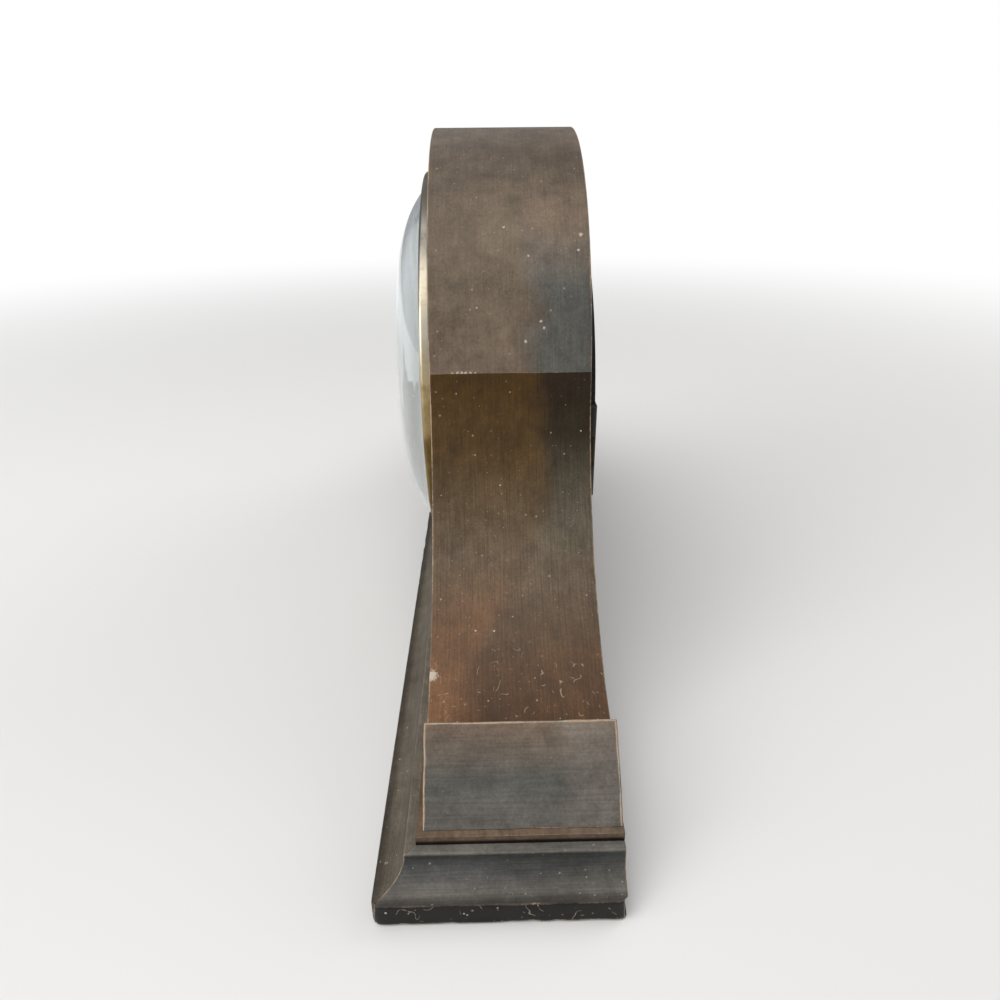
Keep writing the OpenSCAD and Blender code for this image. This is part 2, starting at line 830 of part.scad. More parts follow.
module third_wheel() {
    color("gold") {
        train_arbor(third_p, third_teeth, third_m, third_at, centre_at - 0.8,
            [toward(third_p, escape_p), 0], thin_r);
        lantern(third_p, third_leaves, centre_m, centre_at - 0.8,
            gap_turn([0, 0], third_p, third_leaves), 0.3);
    }
}

// Escape wheel: ratchet-like teeth that lean forwards
escape_depth = 1.3;
module escape_outline() {
    step = 360 / escape_teeth;
    rim_r = escape_r - escape_depth - rim_w;
    difference() {
        polygon([
            for (k = [0 : escape_teeth - 1])
                for (q = [[escape_r - escape_depth, 0], [escape_r, 0.42], [escape_r, 0.5],
                    [escape_r - escape_depth, 0.62]])
                    [q[0] * cos((k + q[1]) * step), q[0] * sin((k + q[1]) * step)]
        ]);
        difference() {
            circle(r = rim_r);
            circle(r = hub_r);
            for (k = [0 : 3]) rotate(k * 90 + 45)
                translate([0, -spoke_w / 2]) square([rim_r + 1, spoke_w]);
        }
    }
}

module escape_wheel() {
    x = escape_p[0];
    z = dial_z + escape_p[1];
    leaf_at = third_at - 0.8;
    color("gold") {
        rod_y(x, gap_y + seat, z, arbor_r, leaf_at - seat + overlap);
        rod_y(x, gap_y + leaf_at, z, thin_r, leaf_len);
        rod_y(x, gap_y + leaf_at + leaf_len - overlap, z, arbor_r,
            plate_gap - leaf_at - leaf_len - seat + overlap);
        rod_y(x, plate_y - seat, z, pivot_r, plate_gap + 2 * plate_t + 2 * seat);
        slab(gap_y + escape_at, wheel_t) translate([x, z]) escape_outline();
        lantern(escape_p, escape_leaves, third_m, leaf_at,
            gap_turn(third_p, escape_p, escape_leaves), 0.24);
    }
}

// Pallets: a bent steel strip on its own arbor above the escape wheel
pallet_reach = escape_r + 1.2;
pallet_shape = [
    [-11, -7.5], [-8, -2], [-2, 2], [2, 2], [8, -2], [11, -7.5], [9.4, -8],
    [6.6, -3.8], [-6.6, -3.8], [-9.4, -8]
];
module pallets() {
    z = dial_z + pallet_p[1];
    color("silver") {
        rod_y(0, gap_y + seat, z, arbor_r, plate_gap - 2 * seat);
        rod_y(0, plate_y - seat, z, pivot_r, crutch_y + crutch_t - plate_y + seat);
        slab(gap_y + escape_at - 0.4, wheel_t + 0.8) translate([0, dial_z]) difference() {
            translate(pallet_p) polygon(pallet_shape);
            translate(escape_p) circle(r = pallet_reach);
        }
    }
}

// Crutch: carries the swing of the pallets to the pendulum rod
crutch_y = behind_y + 4;
crutch_t = 1.4;
crutch_w = 1.6;
crutch_drop = 34;
fork_in = rod_r + seat;
fork_out = fork_in + crutch_t;
fork_h = 2.4;
module crutch() {
    z = dial_z + pallet_p[1];
    color("silver") difference() {
        union() {
            rod_y(0, crutch_y - 1, z, 2.4, crutch_t + 1);
            translate([-crutch_w / 2, crutch_y, z - crutch_drop])
                cube([crutch_w, crutch_t, crutch_drop]);
            translate([-fork_out, crutch_y, z - crutch_drop - fork_h])
                cube([2 * fork_out, crutch_t, fork_h + eps]);
            for (x = [-fork_out, fork_in])
                translate([x, crutch_y, z - crutch_drop - fork_h])
                    cube([crutch_t, pendulum_y - crutch_y + 2, fork_h]);
        }
        rod_y(0, crutch_y - 2, z, pivot_r, 6);
    }
}

// Motion work in front of the movement
cannon_teeth = 14;
minute_teeth = 42;
minute_leaves = 12;
hour_teeth = 48;
cannon_m = 0.5;
motion_c = pitch_r(cannon_teeth + minute_teeth, cannon_m);
hour_m = 2 * motion_c / (minute_leaves + hour_teeth);
minute_p = [motion_c * cos(45), motion_c * sin(45)];
stud_r = 1.2;
stud_len = 7.6;
cannon_at = 1;
cannon_len = 2.4;
motion_t = 1.4;
hour_at = 4.6;

module cannon_pinion() {
    front = y_front - minute_hand_h - hand_t;
    color("gold") difference() {
        union() {
            slab(plate_y - cannon_at - cannon_len, cannon_len) translate([0, dial_z])
                rotate(gap_turn(minute_p, [0, 0], cannon_teeth))
                    toothed(cannon_teeth, cannon_m, leaf_tooth);
            rod_y(0, y_front - minute_hand_h, dial_z, cannon_r,
                plate_y - cannon_at - (y_front - minute_hand_h));
            rod_y(0, front, dial_z, hand_seat_r, 2 * hand_t);
        }
        rod_y(0, front - eps, dial_z, centre_r + run_fit, plate_y - front);
    }
}

minute_step = 2;
minute_leaf_len = 5.2;
minute_bore_len = 10;
module minute_wheel() {
    x = minute_p[0];
    z = dial_z + minute_p[1];
    color("gold") difference() {
        union() {
            slab(plate_y - cannon_at - minute_step, motion_t) translate([x, z])
                rotate(toward(minute_p, [0, 0])) crossed(minute_teeth, cannon_m, hub_r + 0.4, 5);
            slab(plate_y - hour_at - minute_step, minute_leaf_len) translate([x, z])
                rotate(gap_turn([0, 0], minute_p, minute_leaves))
                    toothed(minute_leaves, hour_m, leaf_tooth);
        }
        rod_y(x, plate_y - hour_at - minute_step - 1, z, stud_r + run_fit, minute_bore_len);
    }
}

module hour_wheel() {
    color("gold") difference() {
        union() {
            slab(plate_y - hour_at - 1.4, 1.2) translate([0, dial_z])
                rotate(toward([0, 0], minute_p)) toothed(hour_teeth, hour_m, wheel_tooth);
            rod_y(0, y_front - hour_hand_h - hand_t, dial_z, hour_pipe_out,
                plate_y - hour_at - 1 - (y_front - hour_hand_h - hand_t));
        }
        rod_y(0, y_front - 2 * hour_hand_h, dial_z, hour_pipe_in, board_t + 2 * hour_hand_h);
    }
}

// Pendulum
pendulum_y = behind_y + 8.6;
bend_z = dial_z + pallet_p[1];
spring_w = 4;
spring_t = 0.3;
spring_len = 9;
cock_w = 14;
cock_h = 5;
cock_rise = 3.2;
cock_jaw = 6;

module suspension_cock() {
    color("gold") difference() {
        union() {
            translate([-cock_w / 2, behind_y, bend_z + cock_rise])
                cube([cock_w, pendulum_y - behind_y + cock_jaw / 2, cock_h]);
            translate([-cock_w / 2, behind_y, bend_z + cock_rise])
                cube([cock_w, plate_t, 2 * cock_h]);
            translate([-cock_jaw / 2, pendulum_y - cock_jaw / 2, bend_z + 0.6])
                cube([cock_jaw, cock_jaw, cock_rise]);
        }
        translate([-0.5, pendulum_y - spring_w / 2 - 0.6, bend_z])
            cube([1, spring_w + 1.2, 4.2]);
    }
}

module suspension_spring() {
    color("silver") translate([-spring_t / 2, pendulum_y - spring_w / 2, bend_z - spring_len])
        cube([spring_t, spring_w, spring_len + 3.4]);
}

module pendulum_rod() {
    color("silver") difference() {
        union() {
            translate([0, pendulum_y, bend_z - pendulum_len - bob_r - 6])
                cylinder(r = rod_r, h = pendulum_len + bob_r + 6 - spring_len + 1);
            translate([-1.4, pendulum_y - 2.4, bend_z - spring_len - 1]) cube([2.8, 4.8, 3.4]);
        }
        translate([-spring_t / 2, pendulum_y - spring_w / 2, bend_z - spring_len])
            cube([spring_t, spring_w, spring_len]);
    }
}

module pendulum_bob() {
    color("gold") difference() {
        slab(pendulum_y - bob_t / 2, bob_t) translate([0, bend_z - pendulum_len]) circle(r = bob_r);
        translate([0, pendulum_y, bend_z - pendulum_len - 2 * bob_r])
            cylinder(r = rod_r, h = 4 * bob_r);
    }
}

module rating_nut() {
    color("gold") difference() {
        translate([0, pendulum_y, bend_z - pendulum_len - bob_r - 3.2]) cylinder(r = 3, h = 2.9);
        translate([0, pendulum_y, bend_z - pendulum_len - bob_r - 4]) cylinder(r = rod_r + run_fit, h = 6);
    }
}

// Back door, hung on the far side from the catch
door_hinge_x = door_r + 2;
door_hinge_y = y_back + 4.2;
door_knuckle_r = 2.6;
door_knuckle_len = 15;
door_strap = 8;
door_leaf_w = 12;
door_leaf_t = 1.2;
door_notch = 10;
door_pin_r = 1.2;
catch_x = -door_r - 7;
catch_pin_r = 1.5;
catch_boss_r = 3.4;
catch_w = 4.4;
catch_len = 10;

module door_knuckle(k) {
    translate([door_hinge_x, door_hinge_y, hinge_z + (k - 1.5) * door_knuckle_len + slip])
        cylinder(r = door_knuckle_r, h = door_knuckle_len - 2 * slip);
}

module back_door() {
    color("black") difference() {
        union() {
            slab(y_back + seat, door_t) translate([0, door_z]) circle(r = door_r, $fn = 180);
            for (k = [0, 2]) {
                door_knuckle(k);
                translate([door_hinge_x - door_strap, door_hinge_y,
                    hinge_z + (k - 1.5) * door_knuckle_len + slip])
                    cube([door_strap, door_knuckle_r, door_knuckle_len - 2 * slip]);
            }
        }
        translate([door_hinge_x - door_knuckle_r - 2 * seat, y_back, hinge_z - door_knuckle_len / 2])
            cube([door_knuckle_r + door_notch, door_notch, door_knuckle_len]);
        translate([door_hinge_x, door_hinge_y, hinge_z - 2 * door_knuckle_len])
            cylinder(r = door_pin_r, h = 4 * door_knuckle_len);
    }
}

module door_hinge_leaf() {
    color("goldenrod") difference() {
        union() {
            door_knuckle(1);
            translate([door_hinge_x, y_back, hinge_z - door_knuckle_len / 2 + slip])
                cube([door_leaf_w, door_leaf_t, door_knuckle_len - 2 * slip]);
            translate([door_hinge_x, y_back,
                hinge_z - door_knuckle_len / 2 + slip])
                cube([door_knuckle_r, door_hinge_y - y_back, door_knuckle_len - 2 * slip]);
        }
        translate([door_hinge_x, door_hinge_y, hinge_z - 2 * door_knuckle_len])
            cylinder(r = door_pin_r + run_fit, h = 4 * door_knuckle_len);
    }
}

module door_hinge_pin() {
    color("gold") translate([door_hinge_x, door_hinge_y, hinge_z - 1.5 * door_knuckle_len])
        cylinder(r = door_pin_r, h = 3 * door_knuckle_len);
}

// Turn button that holds the door shut
module door_catch() {
    color("goldenrod") {
        rod_y(catch_x, y_back - board_t + 1, door_z, catch_pin_r, board_t + door_t);
        slab(y_back + seat + door_t + seat, 1.4) translate([catch_x, door_z]) {
            circle(r = catch_boss_r);
            translate([-catch_w / 2, 0]) square([catch_w, catch_len]);
            translate([0, catch_len]) circle(r = catch_w / 2);
        }
        rod_y(catch_x, y_back + seat, door_z, catch_boss_r - 0.4, door_t + 2 * seat);
    }
}

front_board();
back_board();
arch_skin();
wing_skin_left();
wing_skin_right();
end_block_left();
end_block_right();
base_board();
front_moulding();
end_moulding_left();
end_moulding_right();
corner_blocks();
base_screws();
bezel();
bezel_glass();
glass_ring();
bezel_hinge_leaf();
bezel_hinge_pin();
bezel_catch();
dial_plate();
dial_screws();
hour_hand();
minute_hand();
hand_nut();
movement_front_plate();
movement_back_plate();
plate_pillars();
pillar_nuts();
mounting_screws();
barrel();
barrel_cover();
mainspring();
winding_arbor();
ratchet_wheel();
click();
click_spring();
second_wheel();
centre_wheel();
third_wheel();
escape_wheel();
pallets();
crutch();
cannon_pinion();
minute_wheel();
hour_wheel();
suspension_cock();
suspension_spring();
pendulum_rod();
pendulum_bob();
rating_nut();
back_door();
door_hinge_leaf();
door_hinge_pin();
door_catch();
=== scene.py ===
"""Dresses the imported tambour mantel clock: worn stained wood, domed glass, dial and brass."""

from __future__ import annotations

import json
import logging
import math
from dataclasses import dataclass, field
from enum import Enum
from typing import Any

import bmesh
import bpy
import numpy as np
from mathutils import Matrix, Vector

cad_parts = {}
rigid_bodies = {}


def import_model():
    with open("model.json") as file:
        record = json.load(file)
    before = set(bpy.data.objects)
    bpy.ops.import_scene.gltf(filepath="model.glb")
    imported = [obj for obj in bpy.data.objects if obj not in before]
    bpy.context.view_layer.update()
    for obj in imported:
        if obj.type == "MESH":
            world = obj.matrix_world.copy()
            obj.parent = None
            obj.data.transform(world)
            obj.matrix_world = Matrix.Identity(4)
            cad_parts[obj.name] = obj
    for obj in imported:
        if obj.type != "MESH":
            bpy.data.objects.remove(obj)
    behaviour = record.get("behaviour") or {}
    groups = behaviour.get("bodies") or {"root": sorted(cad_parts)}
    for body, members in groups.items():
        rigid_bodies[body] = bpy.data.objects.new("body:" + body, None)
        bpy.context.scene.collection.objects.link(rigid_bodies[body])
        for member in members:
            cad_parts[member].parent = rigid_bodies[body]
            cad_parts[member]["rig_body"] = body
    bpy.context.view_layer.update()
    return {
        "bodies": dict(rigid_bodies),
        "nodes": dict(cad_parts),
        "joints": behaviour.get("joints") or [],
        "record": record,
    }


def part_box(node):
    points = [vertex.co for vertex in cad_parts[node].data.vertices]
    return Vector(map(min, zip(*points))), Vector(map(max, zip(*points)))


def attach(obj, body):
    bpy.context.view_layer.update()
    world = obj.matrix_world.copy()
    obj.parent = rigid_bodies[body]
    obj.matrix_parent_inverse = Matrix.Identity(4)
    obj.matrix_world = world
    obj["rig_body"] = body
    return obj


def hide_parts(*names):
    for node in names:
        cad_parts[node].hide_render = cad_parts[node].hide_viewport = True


LOG = logging.getLogger("tambour_clock")
MM = 0.001
MM_PER_M = 1000.0
TINY = 1e-9
# Points closer than this, in metres, are one: on a new piece, and on a CAD node's mesh.
SAME_PLACE = 1e-7
SAME_CAD_PLACE = 2e-6
# A sine hash only needs numbers that are large and unrelated.
HASH_AXES = np.array([127.1, 311.7, 74.7])
HASH_SEED = 17.3
HASH_SCALE = 43758.5453
# Points on a rounded corner, and the length in millimetres up to which a side gets none.
ARC_POINTS = 6
SHORT_SIDE = 0.5
# How far out the rings lie that close a slab's face, close together where the edge is worn.
FACE_RINGS = (0.99, 0.975, 0.95, 0.9, 0.8, 0.6, 0.3)
Array = np.ndarray
Point = tuple[float, float, float]


# ---------------------------------------------------------------- shapes


class Axis(Enum):
    """Which way a slab's thickness runs."""

    DEPTH = "depth"
    HEIGHT = "height"


def linked(name: str, data: bpy.types.ID) -> bpy.types.Object:
    """Puts a new object into the scene's own collection.

    Args:
        name: the object's name.
        data: what it shows, such as a mesh, a lamp or a camera.

    Returns:
        The object.
    """
    made = bpy.data.objects.new(name, data)
    bpy.context.scene.collection.objects.link(made)
    return made


def facing(right: Array, up: Array, back: Array, at: Point) -> Matrix:
    """The matrix of a camera or lamp, from where its three axes look.

    Args:
        right: direction of its X axis.
        up: direction of its Y axis.
        back: direction of its Z axis, away from what it looks at.
        at: its place in metres.

    Returns:
        The matrix.
    """
    frame = np.eye(4)
    frame[:3, 0], frame[:3, 1], frame[:3, 2] = right, up, back
    frame[:3, 3] = at
    return Matrix(frame.tolist())


def value_noise(points: Array, size: float, seed: float) -> Array:
    """Smooth noise from 0 to 1: random values on a cubic lattice, blended by cubic weights.

    Args:
        points: positions, one row each, in millimetres.
        size: the lattice's spacing in millimetres.
        seed: a number that picks another lattice.

    Returns:
        One value per point.
    """
    scaled = points / size
    cell = np.floor(scaled)
    part = scaled - cell
    part = part * part * (3 - 2 * part)
    total = np.zeros(len(points))
    for corner in np.ndindex(2, 2, 2):
        at = cell + np.array(corner)
        spread = np.sin(at @ HASH_AXES + seed * HASH_SEED) * HASH_SCALE
        share = np.where(np.array(corner) == 1, part, 1 - part).prod(axis=1)
        total += share * (spread - np.floor(spread))
    return total


def nearest(points: Array, lines: list[Array]) -> Array:
    """Distance from each point to the nearest of some polylines.

    Args:
        points: positions, one row each.
        lines: polylines, each an array of corners, one row each.

    Returns:
        One distance per point: the least over all straight runs. The foot of the perpendicular
        is held between the run's two ends.
    """
    best = np.full(len(points), np.inf)
    for line in lines:
        for start, end in zip(line[:-1], line[1:]):
            run = end - start
            share = np.clip((points - start) @ run / max(run @ run, TINY), 0, 1)
            best = np.minimum(best, np.linalg.norm(points - start - share[:, None] * run, axis=1))
    return best


def graded(length: float, fine: float = 0.4, coarse: float = 3.0, growth: float = 1.5) -> Array:
    """Places along a run, close together at both ends and wider apart in the middle.

    Args:
        length: the run's length.
        fine: the first step at each end.
        coarse: the widest step.
        growth: by how much each step is longer than the one before.

    Returns:
        Places from 0 to length, both ends included.
    """
    steps = [0.0]
    step = fine
    while steps[-1] + step < length / 2:
        steps.append(steps[-1] + step)
        step = min(coarse, step * growth)
    half = np.array(steps)
    return np.unique(np.round(np.concatenate([half, length - half[::-1], [length / 2]]), 6))


def girth_of(outline: Array) -> Array:
    """How far along an outline each of its points lies, from the first one."""
    return np.concatenate([[0], np.cumsum(np.linalg.norm(np.diff(outline, axis=0), axis=1))])


def eased_outline(corners: list[tuple[float, float, float]]) -> Array:
    """A closed outline from its corners, each turned with its own radius.

    Args:
        corners: (first, second, radius) of each corner, in order round the outline.

    Returns:
        Points round the outline, one row each, without the first one again at the end. A
        corner is an arc that touches both sides; the sides between are graded.
    """
    count = len(corners)
    arcs = []
    for k, (first_at, second_at, radius) in enumerate(corners):
        here = np.array([first_at, second_at])
        back = np.array(corners[k - 1][:2]) - here
        ahead = np.array(corners[(k + 1) % count][:2]) - here
        back /= np.linalg.norm(back)
        ahead /= np.linalg.norm(ahead)
        half = math.acos(float(np.clip(back @ ahead, -1, 1))) / 2
        if radius <= 0 or abs(half - math.pi / 2) < 1e-3:
            arcs.append(here[None, :])
            continue
        reach = radius / math.tan(half)
        middle = here + (back + ahead) / np.linalg.norm(back + ahead) * radius / math.sin(half)
        first = here + back * reach - middle
        last = here + ahead * reach - middle
        turn = math.atan2(first[0] * last[1] - first[1] * last[0], float(first @ last))
        angles = np.linspace(0, turn, ARC_POINTS)
        cos, sin = np.cos(angles), np.sin(angles)
        arc = [
            middle[0] + first[0] * cos - first[1] * sin,
            middle[1] + first[0] * sin + first[1] * cos,
        ]
        arcs.append(np.stack(arc, axis=1))
    rows = []
    for k, arc in enumerate(arcs):
        rows.append(arc)
        start, end = arc[-1], arcs[(k + 1) % count][0]
        length = float(np.linalg.norm(end - start))
        if length > SHORT_SIDE:
            share = graded(length)[1:-1] / length
            rows.append(start + share[:, None] * (end - start))
    return np.concatenate(rows)


def carried(section: Array, origins: Array, outs: Array, ups: Array) -> Array:
    """A section carried along a path: origin + first * out + second * up at every station.

    Args:
        section: the section's points, (first, second) each.
        origins: the path's stations.
        outs: at each station, the direction of the section's first number.
        ups: at each station, the direction of its second number.

    Returns:
        A grid of points, stations by section points.
    """
    return (
        origins[:, None, :]
        + section[None, :, 0:1] * outs[:, None, :]
        + section[None, :, 1:2] * ups[:, None, :]
    )


def revolved(profile: Array, steps: int, y0: float, z0: float) -> Array:
    """A profile turned about an axis along Y: (radius, distance out towards -Y) each.

    Args:
        profile: the profile's points.
        steps: how many stations the full turn has.
        y0: where the distance out is counted from.
        z0: height of the axis.

    Returns:
        A grid of points, stations by profile points; the last station isn't repeated.
    """
    turn = np.linspace(0, 2 * math.pi, steps, endpoint=False)[:, None]
    radius, out = profile[None, :, 0], profile[None, :, 1]
    return np.stack(
        [radius * np.cos(turn), y0 - out + 0 * turn, z0 + radius * np.sin(turn)], axis=2
    )


@dataclass
class Shell:
    """Vertices, faces and per-vertex fields of one piece, in millimetres."""

    points: Array
    faces: list[Any]
    uv: Array
    rub: Array = field(default_factory=lambda: np.zeros(0))

    @classmethod
    def grid(
        cls,
        points: Array,
        ring_u: bool,
        ring_v: bool,
        capped: bool = False,
        uv: Array | None = None,
    ) -> "Shell":
        """A shell from a grid of points, stations by section points.

        Args:
            points: the grid.
            ring_u: whether the last station joins the first.
            ring_v: whether the section is closed.
            capped: whether a fan of triangles closes each end.
            uv: (along, across) of each grid point, for patterns that follow the surface.

        Returns:
            The shell.
        """
        rows, columns = points.shape[:2]
        index = np.arange(rows * columns).reshape(rows, columns)
        if ring_u:
            index = np.concatenate([index, index[:1]])
        if ring_v:
            index = np.concatenate([index, index[:, :1]], axis=1)
        quads = np.stack(
            [index[:-1, :-1], index[1:, :-1], index[1:, 1:], index[:-1, 1:]], axis=2
        ).reshape(-1, 4)
        flat = points.reshape(-1, 3)
        faces = quads.tolist()
        marks = np.zeros((len(flat), 2)) if uv is None else uv.reshape(-1, 2)
        if capped:
            for station, ends in ((0, points[0]), (rows - 1, points[-1])):
                hub = len(flat)
                flat = np.vstack([flat, ends.mean(axis=0)])
                marks = np.vstack([marks, marks[index[station]].mean(axis=0)])
                ring = index[station]
                fan = np.stack([ring[:-1], ring[1:], np.full(len(ring) - 1, hub)], axis=1)
                faces += fan.tolist()
        return cls(flat, faces, marks)

    def join(self, *others: "Shell") -> "Shell":
        """This shell and others as one.

        Args:
            others: the shells to add.

        Returns:
            A new shell; faces of the others count on from this one's points.
        """
        made = Shell(self.points, list(self.faces), self.uv, self.rub)
        for other in others:
            base = len(made.points)
            made.points = np.vstack([made.points, other.points])
            made.uv = np.vstack([made.uv, other.uv])
            made.rub = np.concatenate([made.rub, other.rub])
            made.faces += [[base + k for k in face] for face in other.faces]
        return made

    def mirrored(self) -> "Shell":
        """The same shell on the clock's other side."""
        return Shell(self.points * np.array([-1.0, 1.0, 1.0]), self.faces, self.uv, self.rub)

    def rubbed(self, lines: list[Array], reach: float = 1.0, most: float = 1.0) -> "Shell":
        """Marks how near each point is to the edges that hands and dusters wear.

        Args:
            lines: the edges, as polylines.
            reach: the distance in millimetres at which the mark has fallen to about a third.
            most: the mark on the edge itself.

        Returns:
            The same shell; marks of earlier calls stay where they are higher.
        """
        mark = most * np.exp(-nearest(self.points, lines) / reach)
        self.rub = np.maximum(self.rub, mark) if len(self.rub) == len(mark) else mark
        return self

    def dented(self, depth: float, size: float, seed: float, middle: Array) -> "Shell":
        """Presses worn edges in a little, by smooth noise that only acts where rub is high.

        Noise below three eighths leaves the edge whole.

        Args:
            depth: the deepest dent in millimetres.
            size: the spacing of the dents.
            seed: picks another pattern.
            middle: a point inside the piece that the dents go towards.

        Returns:
            The same shell.
        """
        inward = middle - self.points
        inward /= np.maximum(np.linalg.norm(inward, axis=1, keepdims=True), TINY)
        noise = np.clip(value_noise(self.points, size, seed) * 1.6 - 0.6, 0, 1)
        self.points = self.points + inward * (depth * noise * self.rub)[:, None]
        return self


def slab_shell(outline: Array, low: float, high: float, ease: float, axis: Axis) -> Shell:
    """A solid slab with soft edges: an outline carried through its thickness.

    Near each face the outline is drawn in along a quarter circle of radius ease, and rings that
    shrink towards the outline's middle close the face.

    Args:
        outline: a closed convex outline, counter-clockwise, (first, second) each.
        low: where the thickness begins.
        high: where it ends.
        ease: the radius of the softened edges.
        axis: which way the thickness runs.

    Returns:
        The shell.
    """
    ahead = np.roll(outline, -1, axis=0) - outline
    behind = outline - np.roll(outline, 1, axis=0)
    normal = np.stack([(ahead + behind)[:, 1], -(ahead + behind)[:, 0]], axis=1)
    normal /= np.maximum(np.linalg.norm(normal, axis=1, keepdims=True), TINY)
    middle = outline.mean(axis=0)
    quarter = np.linspace(0, math.pi / 2, 5)
    inset = list(ease * (1 - np.sin(quarter)))
    lift = list(low + ease * (1 - np.cos(quarter)))
    run = graded(high - low - 2 * ease)[1:-1] + low + ease
    drawn = inset + [0.0] * len(run) + inset[::-1]
    height = lift + list(run) + [low + high - place for place in lift[::-1]]
    rings = [outline - normal * amount for amount in drawn]
    face = rings[0]
    inner = [middle + (face - middle) * share for share in FACE_RINGS]
    rings = inner[::-1] + rings + inner
    height = [low] * len(inner) + height + [high] * len(inner)
    section = np.stack(rings)
    along = np.broadcast_to(np.array(height)[:, None], section.shape[:2])
    marks = np.stack([np.broadcast_to(girth_of(outline), along.shape), along], axis=2)
    if axis is Axis.DEPTH:
        points = np.stack([section[..., 0], along, section[..., 1]], axis=2)
    else:
        points = np.stack([section[..., 0], section[..., 1], along], axis=2)
    return Shell.grid(points, ring_u=False, ring_v=True, capped=True, uv=marks)


class Maker:
    """Turns shells into Blender objects that ride on the clock's bodies."""

    @staticmethod
    def piece(
        name: str,
        shell: Shell,
        body: str,
        replaces: tuple[str, ...],
        slot: str,
        sharp_deg: float = 40.0,
    ) -> bpy.types.Object:
        """Makes one piece.

        Args:
            name: the piece's name.
            shell: its surface, in millimetres.
            body: the CAD body it rides on.
            replaces: the CAD nodes it stands for, or none where it is an extra.
            slot: the record's material slot; not used.
            sharp_deg: edges that turn by more than this stay sharp.

        Returns:
            The object, at the origin.
        """
        mesh = bpy.data.meshes.new(name)
        mesh.from_pydata((shell.points * MM).tolist(), [], shell.faces)
        count = len(shell.points)
        rub = shell.rub if len(shell.rub) == count else np.zeros(count)
        mesh.attributes.new("rub", "FLOAT", "POINT").data.foreach_set(
            "value", rub.astype(np.float32)
        )
        corner = np.zeros(len(mesh.loops), np.int32)
        mesh.loops.foreach_get("vertex_index", corner)
        layer = mesh.uv_layers.new(name="along")
        layer.data.foreach_set("uv", (shell.uv[corner] * MM).astype(np.float32).ravel())
        work = bmesh.new()
        work.from_mesh(mesh)
        bmesh.ops.remove_doubles(work, verts=work.verts, dist=SAME_PLACE)
        bmesh.ops.recalc_face_normals(work, faces=work.faces)
        work.to_mesh(mesh)
        work.free()
        mesh.shade_smooth()
        mesh.set_sharp_from_angle(angle=math.radians(sharp_deg))
        made = linked(name, mesh)
        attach(made, body)
        if replaces:
            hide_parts(*replaces)
        LOG.info("piece %s: %d faces on %s", name, len(mesh.polygons), body)
        return made

    @staticmethod
    def pair(stem: str, right: Shell, sharp_deg: float = 40.0) -> list[bpy.types.Object]:
        """Makes a wooden piece of the case's right end, and its mirror image on the left.

        Args:
            stem: the CAD nodes' name without its last word, which is right or left.
            right: the right-hand surface, in millimetres.
            sharp_deg: edges that turn by more than this stay sharp.

        Returns:
            Both objects.
        """
        return [
            Maker.piece(
                f"{stem}_{side}_worn", shell, "case", (f"{stem}_{side}",), "stained_wood", sharp_deg
            )
            for side, shell in (("right", right), ("left", right.mirrored()))
        ]

    @staticmethod
    def eased_copy(
        node: bpy.types.Object, name: str, width: float, slot: str
    ) -> bpy.types.Object:
        """A CAD node's shape with its sharp edges softened, as a new piece that replaces it.

        Args:
            node: the CAD node's object.
            name: the new piece's name.
            width: the width of the softened edge, in millimetres.
            slot: the record's material slot; not used.

        Returns:
            The new object.
        """
        mesh = node.data.copy()
        mesh.name = name
        work = bmesh.new()
        work.from_mesh(mesh)
        bmesh.ops.remove_doubles(work, verts=work.verts, dist=SAME_CAD_PLACE)
        bmesh.ops.dissolve_limit(
            work, angle_limit=math.radians(0.6), verts=work.verts, edges=work.edges
        )
        work.to_mesh(mesh)
        work.free()
        mesh.shade_smooth()
        mesh.set_sharp_from_angle(angle=math.radians(35))
        made = linked(name, mesh)
        bevel = made.modifiers.new("soft edges", "BEVEL")
        bevel.width = width * MM
        bevel.segments = 2
        bevel.limit_method = "ANGLE"
        bevel.angle_limit = math.radians(50)
        bevel.harden_normals = True
        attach(made, node["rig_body"])
        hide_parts(node.name)
        LOG.info("eased copy %s of %s", name, node.name)
        return made


# ---------------------------------------------------------------- finishes


class Flow:
    """One output socket that takes part in Python arithmetic."""

    def __init__(self, recipe: "Recipe", socket: bpy.types.NodeSocket) -> None:
        """Keeps the socket and the recipe that its node belongs to."""
        self.recipe = recipe
        self.socket = socket

    def __add__(self, other: "Flow | float") -> "Flow":
        """Sum."""
        return self.recipe.math("ADD", self, other)

    __radd__ = __add__

    def __mul__(self, other: "Flow | float") -> "Flow":
        """Product."""
        return self.recipe.math("MULTIPLY", self, other)

    __rmul__ = __mul__

    def __sub__(self, other: "Flow | float") -> "Flow":
        """Difference."""
        return self.recipe.math("SUBTRACT", self, other)

    def __rsub__(self, other: "Flow | float") -> "Flow":
        """Difference from a number."""
        return self.recipe.math("SUBTRACT", other, self)


Colour = tuple[float, float, float]
Tones = tuple[tuple[float, Colour], ...]
Place = tuple[float, float, float, float]
# The height in millimetres at which every ramp of tones ends, a little above the arch.
RAMP_TOP = 250.0


def srgb(red: float, green: float, blue: float) -> Colour:
    """A colour as seen, turned into what a shader takes.

    Args:
        red: red from 0 to 255.
        green: green from 0 to 255.
        blue: blue from 0 to 255.

    Returns:
        The linear values from 0 to 1.
    """
    shares = np.array([red, green, blue]) / 255
    linear = np.where(shares <= 0.04045, shares / 12.92, ((shares + 0.055) / 1.055) ** 2.4)
    return float(linear[0]), float(linear[1]), float(linear[2])


def tones(*stops: tuple[float, float, float, float]) -> Tones:
    """Colours by height: each stop is a height in millimetres and red, green, blue as seen."""
    return tuple((height, srgb(red, green, blue)) for height, red, green, blue in stops)


